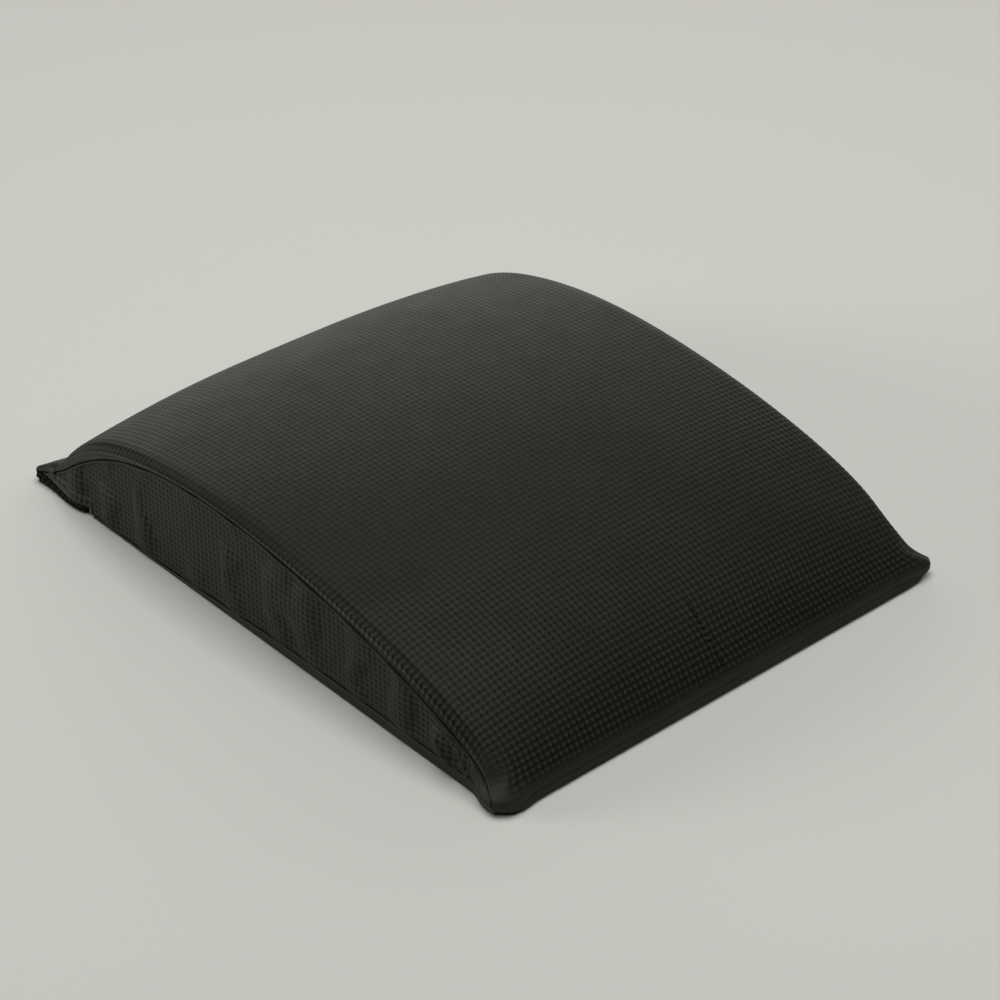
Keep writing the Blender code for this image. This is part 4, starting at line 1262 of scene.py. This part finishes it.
def make_teeth(name, side, look):
    """Blocks of six rounded sections, root to head: broad root, waist, rounded head, shut at its top."""
    number = int((ZIP_LENGTH - 2 * STOP_ROOM) / TOOTH_PITCH)
    start = (ZIP_LENGTH - number * TOOTH_PITCH) / 2 + side * TOOTH_PITCH / 4
    place, _ = zip_path(start + (np.arange(number) + 0.5) * TOOTH_PITCH)
    place = shaped_plan(place)
    forward = unit(np.gradient(place, axis=0))
    outward = unit(np.cross([0, 0, 1.0], forward))
    reach, wide, deep = (np.array(TOOTH_SECTIONS) * (TOOTH_ROW, TOOTH_HALF, TOOTH_DEPTH / 2)).T
    turn = np.linspace(0, 2 * math.pi, TOOTH_CORNERS, endpoint=False) + math.pi / TOOTH_CORNERS
    across, through = signed_power(np.cos(turn), 0.3), signed_power(np.sin(turn), 0.5)
    root = place + np.array([0, 0, side * CHAIN_HALF])
    centre = root - outward * TOOTH_DEPTH / 2
    points = (
        centre[:, None, None]
        - np.array([0, 0, side]) * reach[:, None, None]
        + forward[:, None, None] * (wide[:, None] * across)[..., None]
        + outward[:, None, None] * (deep[:, None] * through)[..., None]
    )
    return bars(name, points, look)


# %% Tapes
TAPE_STATIONS = 520
TAPE_POINTS = 15
RIBS = 6
RIB_DEPTH = 0.07 * MM
TAPE_BACK = 2.2 * MM
TAPE_TOP = 8.6 * MM
TAPE_FOOT = 0.4 * MM
SLIT_HALF = 0.05 * MM
PAST_TEETH = (CHAIN_HALF - 0.3 * MM, 0.5 * MM)
TUCKED = 0.9 * MM
UNDER_STOP = 1.2 * MM
UNDER_STOP_UNTIL = (STOP_ROOM, 1 * MM)
tape_s = np.linspace(0, ZIP_LENGTH, TAPE_STATIONS)
tape_place, tape_outward = zip_path(tape_s)
chain_z = tape_place[:, 2]


def make_tape(name, low, high, tucked):
    """A band between two heights, ribbed by |sin| of its height, and closed behind.

    Its face lies half a tooth back, and steps back under the stops at both ends and, where it is
    tucked, behind the gusset past the teeth. It is bent in plan by the rule for its chain's own
    height, so it stands upright.
    """
    up = np.linspace(0, 1, TAPE_POINTS)
    face = TOOTH_DEPTH / 2 - RIB_DEPTH * np.abs(np.sin(up * RIBS * math.pi))
    depth = np.concatenate([face, np.full(TAPE_POINTS, TAPE_BACK)])
    up = np.concatenate([up, up[::-1]])
    z = low[:, None] * (1 - up) + high[:, None] * up
    past_teeth = rises(z - chain_z[:, None], *PAST_TEETH)
    to_end = np.minimum(tape_s, ZIP_LENGTH - tape_s)[:, None]
    set_back = np.maximum(tucked * past_teeth, UNDER_STOP * falls(to_end, *UNDER_STOP_UNTIL))
    depth = np.maximum(depth, TOOTH_DEPTH / 2 + set_back)
    band = tape_place[:, None, :] - tape_outward[:, None, :] * depth[..., None]
    band = np.concatenate([shaped_plan(band)[..., :2], z[..., None]], axis=2)
    middles = band[[0, -1]].mean(axis=1, keepdims=True)
    shut = middles + (band[[0, -1]] - middles) * 0.01
    band = np.concatenate([shut[:1], band, shut[1:]])
    return grid_mesh(name, band, tape_look, "cover", closed=True)


upper_tape = make_tape("tape_upper", chain_z + SLIT_HALF, np.full(TAPE_STATIONS, TAPE_TOP), TUCKED)
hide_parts("zip_tape_upper")
lower_tape = make_tape("tape_lower", np.full(TAPE_STATIONS, TAPE_FOOT), chain_z - SLIT_HALF, 0)
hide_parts("zip_tape_lower")

# %% The two rows of teeth
upper_teeth = make_teeth("teeth_upper", 1, teeth_look)
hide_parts("zip_teeth_upper")
lower_teeth = make_teeth("teeth_lower", -1, teeth_look)
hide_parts("zip_teeth_lower")

# %% [markdown]
# ## Parts kept from the working model
# The stops, the slider and its pull already have their right shapes, so they keep them and only
# get better finishes: dull steel for the stops, black enamel for the slider.

# %% Finishes for the working model's own parts
kept = {
    "zip_bottom_stop": steel_look,
    "zip_top_stop_lower": steel_look,
    "zip_top_stop_upper": steel_look,
    "zip_slider": enamel_look,
    "zip_pull": enamel_look,
}
for part, look in kept.items():
    solid = bpy.data.objects[part]
    for place in solid.material_slots:
        place.material = look
    print(part, "is finished in", look.name)

# %% [markdown]
# ## Foam
# The moulded foam fills the cover and shows nowhere, but the mat would be hollow without it. It
# follows the same crown, drawn in by the thickness of the vinyl, and its lower edges are round.

# %% Foam core
FOAM_FRONT = -HALF_LENGTH + 2 * MM
FOAM_LENGTH = TOP_REAR + HALF_LENGTH - 5 * MM
FOAM_SQUARENESS = 0.24
FOAM_HALF_WIDTH = HALF_WIDTH - 5 * MM
FOAM_UNDER_CROWN = 4 * MM
FOAM_FLOOR = 2.5 * MM
FOAM_LEAST = 1 * MM
FOAM_SHUT = np.array([0.01, 1, 0.01])
foam_y = FOAM_FRONT + np.linspace(0.02, 0.985, 90) * FOAM_LENGTH
foam_turn = np.linspace(0, 2 * math.pi, 120, endpoint=False)


def foam_section(y):
    """Ring round one station, from the floor to under the crown: a circle squared off by signed_power."""
    x = signed_power(np.cos(foam_turn), FOAM_SQUARENESS) * FOAM_HALF_WIDTH
    roof = np.maximum(crown_surface(x, y) - FOAM_UNDER_CROWN, FOAM_FLOOR + FOAM_LEAST)
    share = (1 + signed_power(np.sin(foam_turn), FOAM_SQUARENESS)) / 2
    return np.stack([x, np.full_like(x, y), FOAM_FLOOR + (roof - FOAM_FLOOR) * share], axis=1)


def shut_end(ring):
    """The ring drawn in across and up to almost nothing at its own middle."""
    middle = ring.mean(axis=0)
    return middle + (ring - middle) * FOAM_SHUT


rings = np.array([foam_section(y) for y in foam_y])
rings = np.concatenate([[shut_end(rings[0])], rings, [shut_end(rings[-1])]])
foam = grid_mesh("foam_body", rings, foam_look, "cover", closed=True, flip=True)
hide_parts("foam_core")

# %% [markdown]
# ## Stage
# The camera stands where the photographer's did: to the front left, a good metre away, looking
# down. The floor is plain and pale. One soft lamp hangs over the mat, a wide one stands low behind
# it to the right and another behind it to the left, two faint ones fill the front and right, and a
# dim even sky does the rest. Their strengths were found by rendering the mat by one lamp at a time,
# and the lamps behind were then set until the light fell as it does in the photo.

# %% Camera
LOOK_AT = np.array([-0.0007, -0.01865, 0.03])
AZIMUTH = math.radians(-41.488)
ELEVATION = math.radians(33.180)
DISTANCE = 1.4727
LENS = 99.46
FILM_WIDTH = 36


def from_angles(azimuth, elevation):
    """Unit vector that points from the object to a camera at these angles."""
    level = math.cos(elevation)
    return np.array([math.sin(azimuth) * level, -math.cos(azimuth) * level, math.sin(elevation)])


def aim(thing, place, target):
    """Places a camera or lamp and turns its -Z to the target, with Z up."""
    thing.location = Vector(place)
    thing.rotation_euler = (Vector(place) - Vector(target)).to_track_quat("Z", "Y").to_euler()
    bpy.context.scene.collection.objects.link(thing)


lens = bpy.data.cameras.new("camera")
lens.lens = LENS
lens.sensor_width = FILM_WIDTH
lens.clip_start = 0.01
camera = bpy.data.objects.new("camera", lens)
aim(camera, LOOK_AT + DISTANCE * from_angles(AZIMUTH, ELEVATION), LOOK_AT)
bpy.context.scene.camera = camera
print("the camera stands", round(camera.location.length, 2), "m from the frame's origin")

# %% Floor
FLOOR_REACH = 12.0
FLOOR_LEVEL = -0.2 * MM
FLOOR_COLOUR = (0.74, 0.74, 0.73, 1)
FLOOR_SIGNS = ((-1, -1), (1, -1), (1, 1), (-1, 1))
floor_look, _, floor_shader = new_material("floor")
floor_shader.inputs["Base Color"].default_value = FLOOR_COLOUR
floor_shader.inputs["Roughness"].default_value = 0.9
floor_shader.inputs["Specular IOR Level"].default_value = 0.1
floor_corners = [(FLOOR_REACH * x, FLOOR_REACH * y, FLOOR_LEVEL) for x, y in FLOOR_SIGNS]
floor_mesh = bpy.data.meshes.new("floor")
floor_mesh.from_pydata(floor_corners, [], [(0, 1, 2, 3)])
floor_mesh.materials.append(floor_look)
floor = bpy.data.objects.new("floor", floor_mesh)
bpy.context.scene.collection.objects.link(floor)
print("the floor reaches", FLOOR_REACH, "m each way")

# %% Lamps
LAMP_COLOUR = (1.0, 0.985, 0.93)
MIDDLE_OF_MAT = (0, 0, 0.03)
# Each lamp: its place and its width and height in metres, and its power in watts.
LAMPS = {
    "overhead": ((0, 0, 2.0), (1.5, 1.5), 26),
    "behind_right": ((1.84, 2.56, 0.88), (3.2, 1.44), 30),
    "behind_left": ((-2.6, 2.2, 0.68), (1.6, 1.1), 58),
    "front_right": ((0.9, -1.2, 1.4), (1.2, 1.2), 3.5),
    "right": ((1.9, 0, 0.9), (1.2, 1.0), 3),
}
for name, (place, size, power) in LAMPS.items():
    lamp = bpy.data.lights.new(name, "AREA")
    lamp.shape = "RECTANGLE"
    lamp.size, lamp.size_y = size
    lamp.energy = power
    lamp.color = LAMP_COLOUR
    aim(bpy.data.objects.new(name, lamp), place, MIDDLE_OF_MAT)
print("hung", len(LAMPS), "lamps,", sum(power for _, _, power in LAMPS.values()), "W in all")

# %% Sky
SKY_COLOUR = (1.0, 0.99, 0.95, 1)
SKY_STRENGTH = 0.03
world = bpy.data.worlds.new("soft sky")
world.use_nodes = True
sky = world.node_tree.nodes["Background"]
sky.inputs["Color"].default_value = SKY_COLOUR
sky.inputs["Strength"].default_value = SKY_STRENGTH
bpy.context.scene.world = world
bpy.context.scene.view_settings.view_transform = "Standard"
print("sky strength", SKY_STRENGTH)
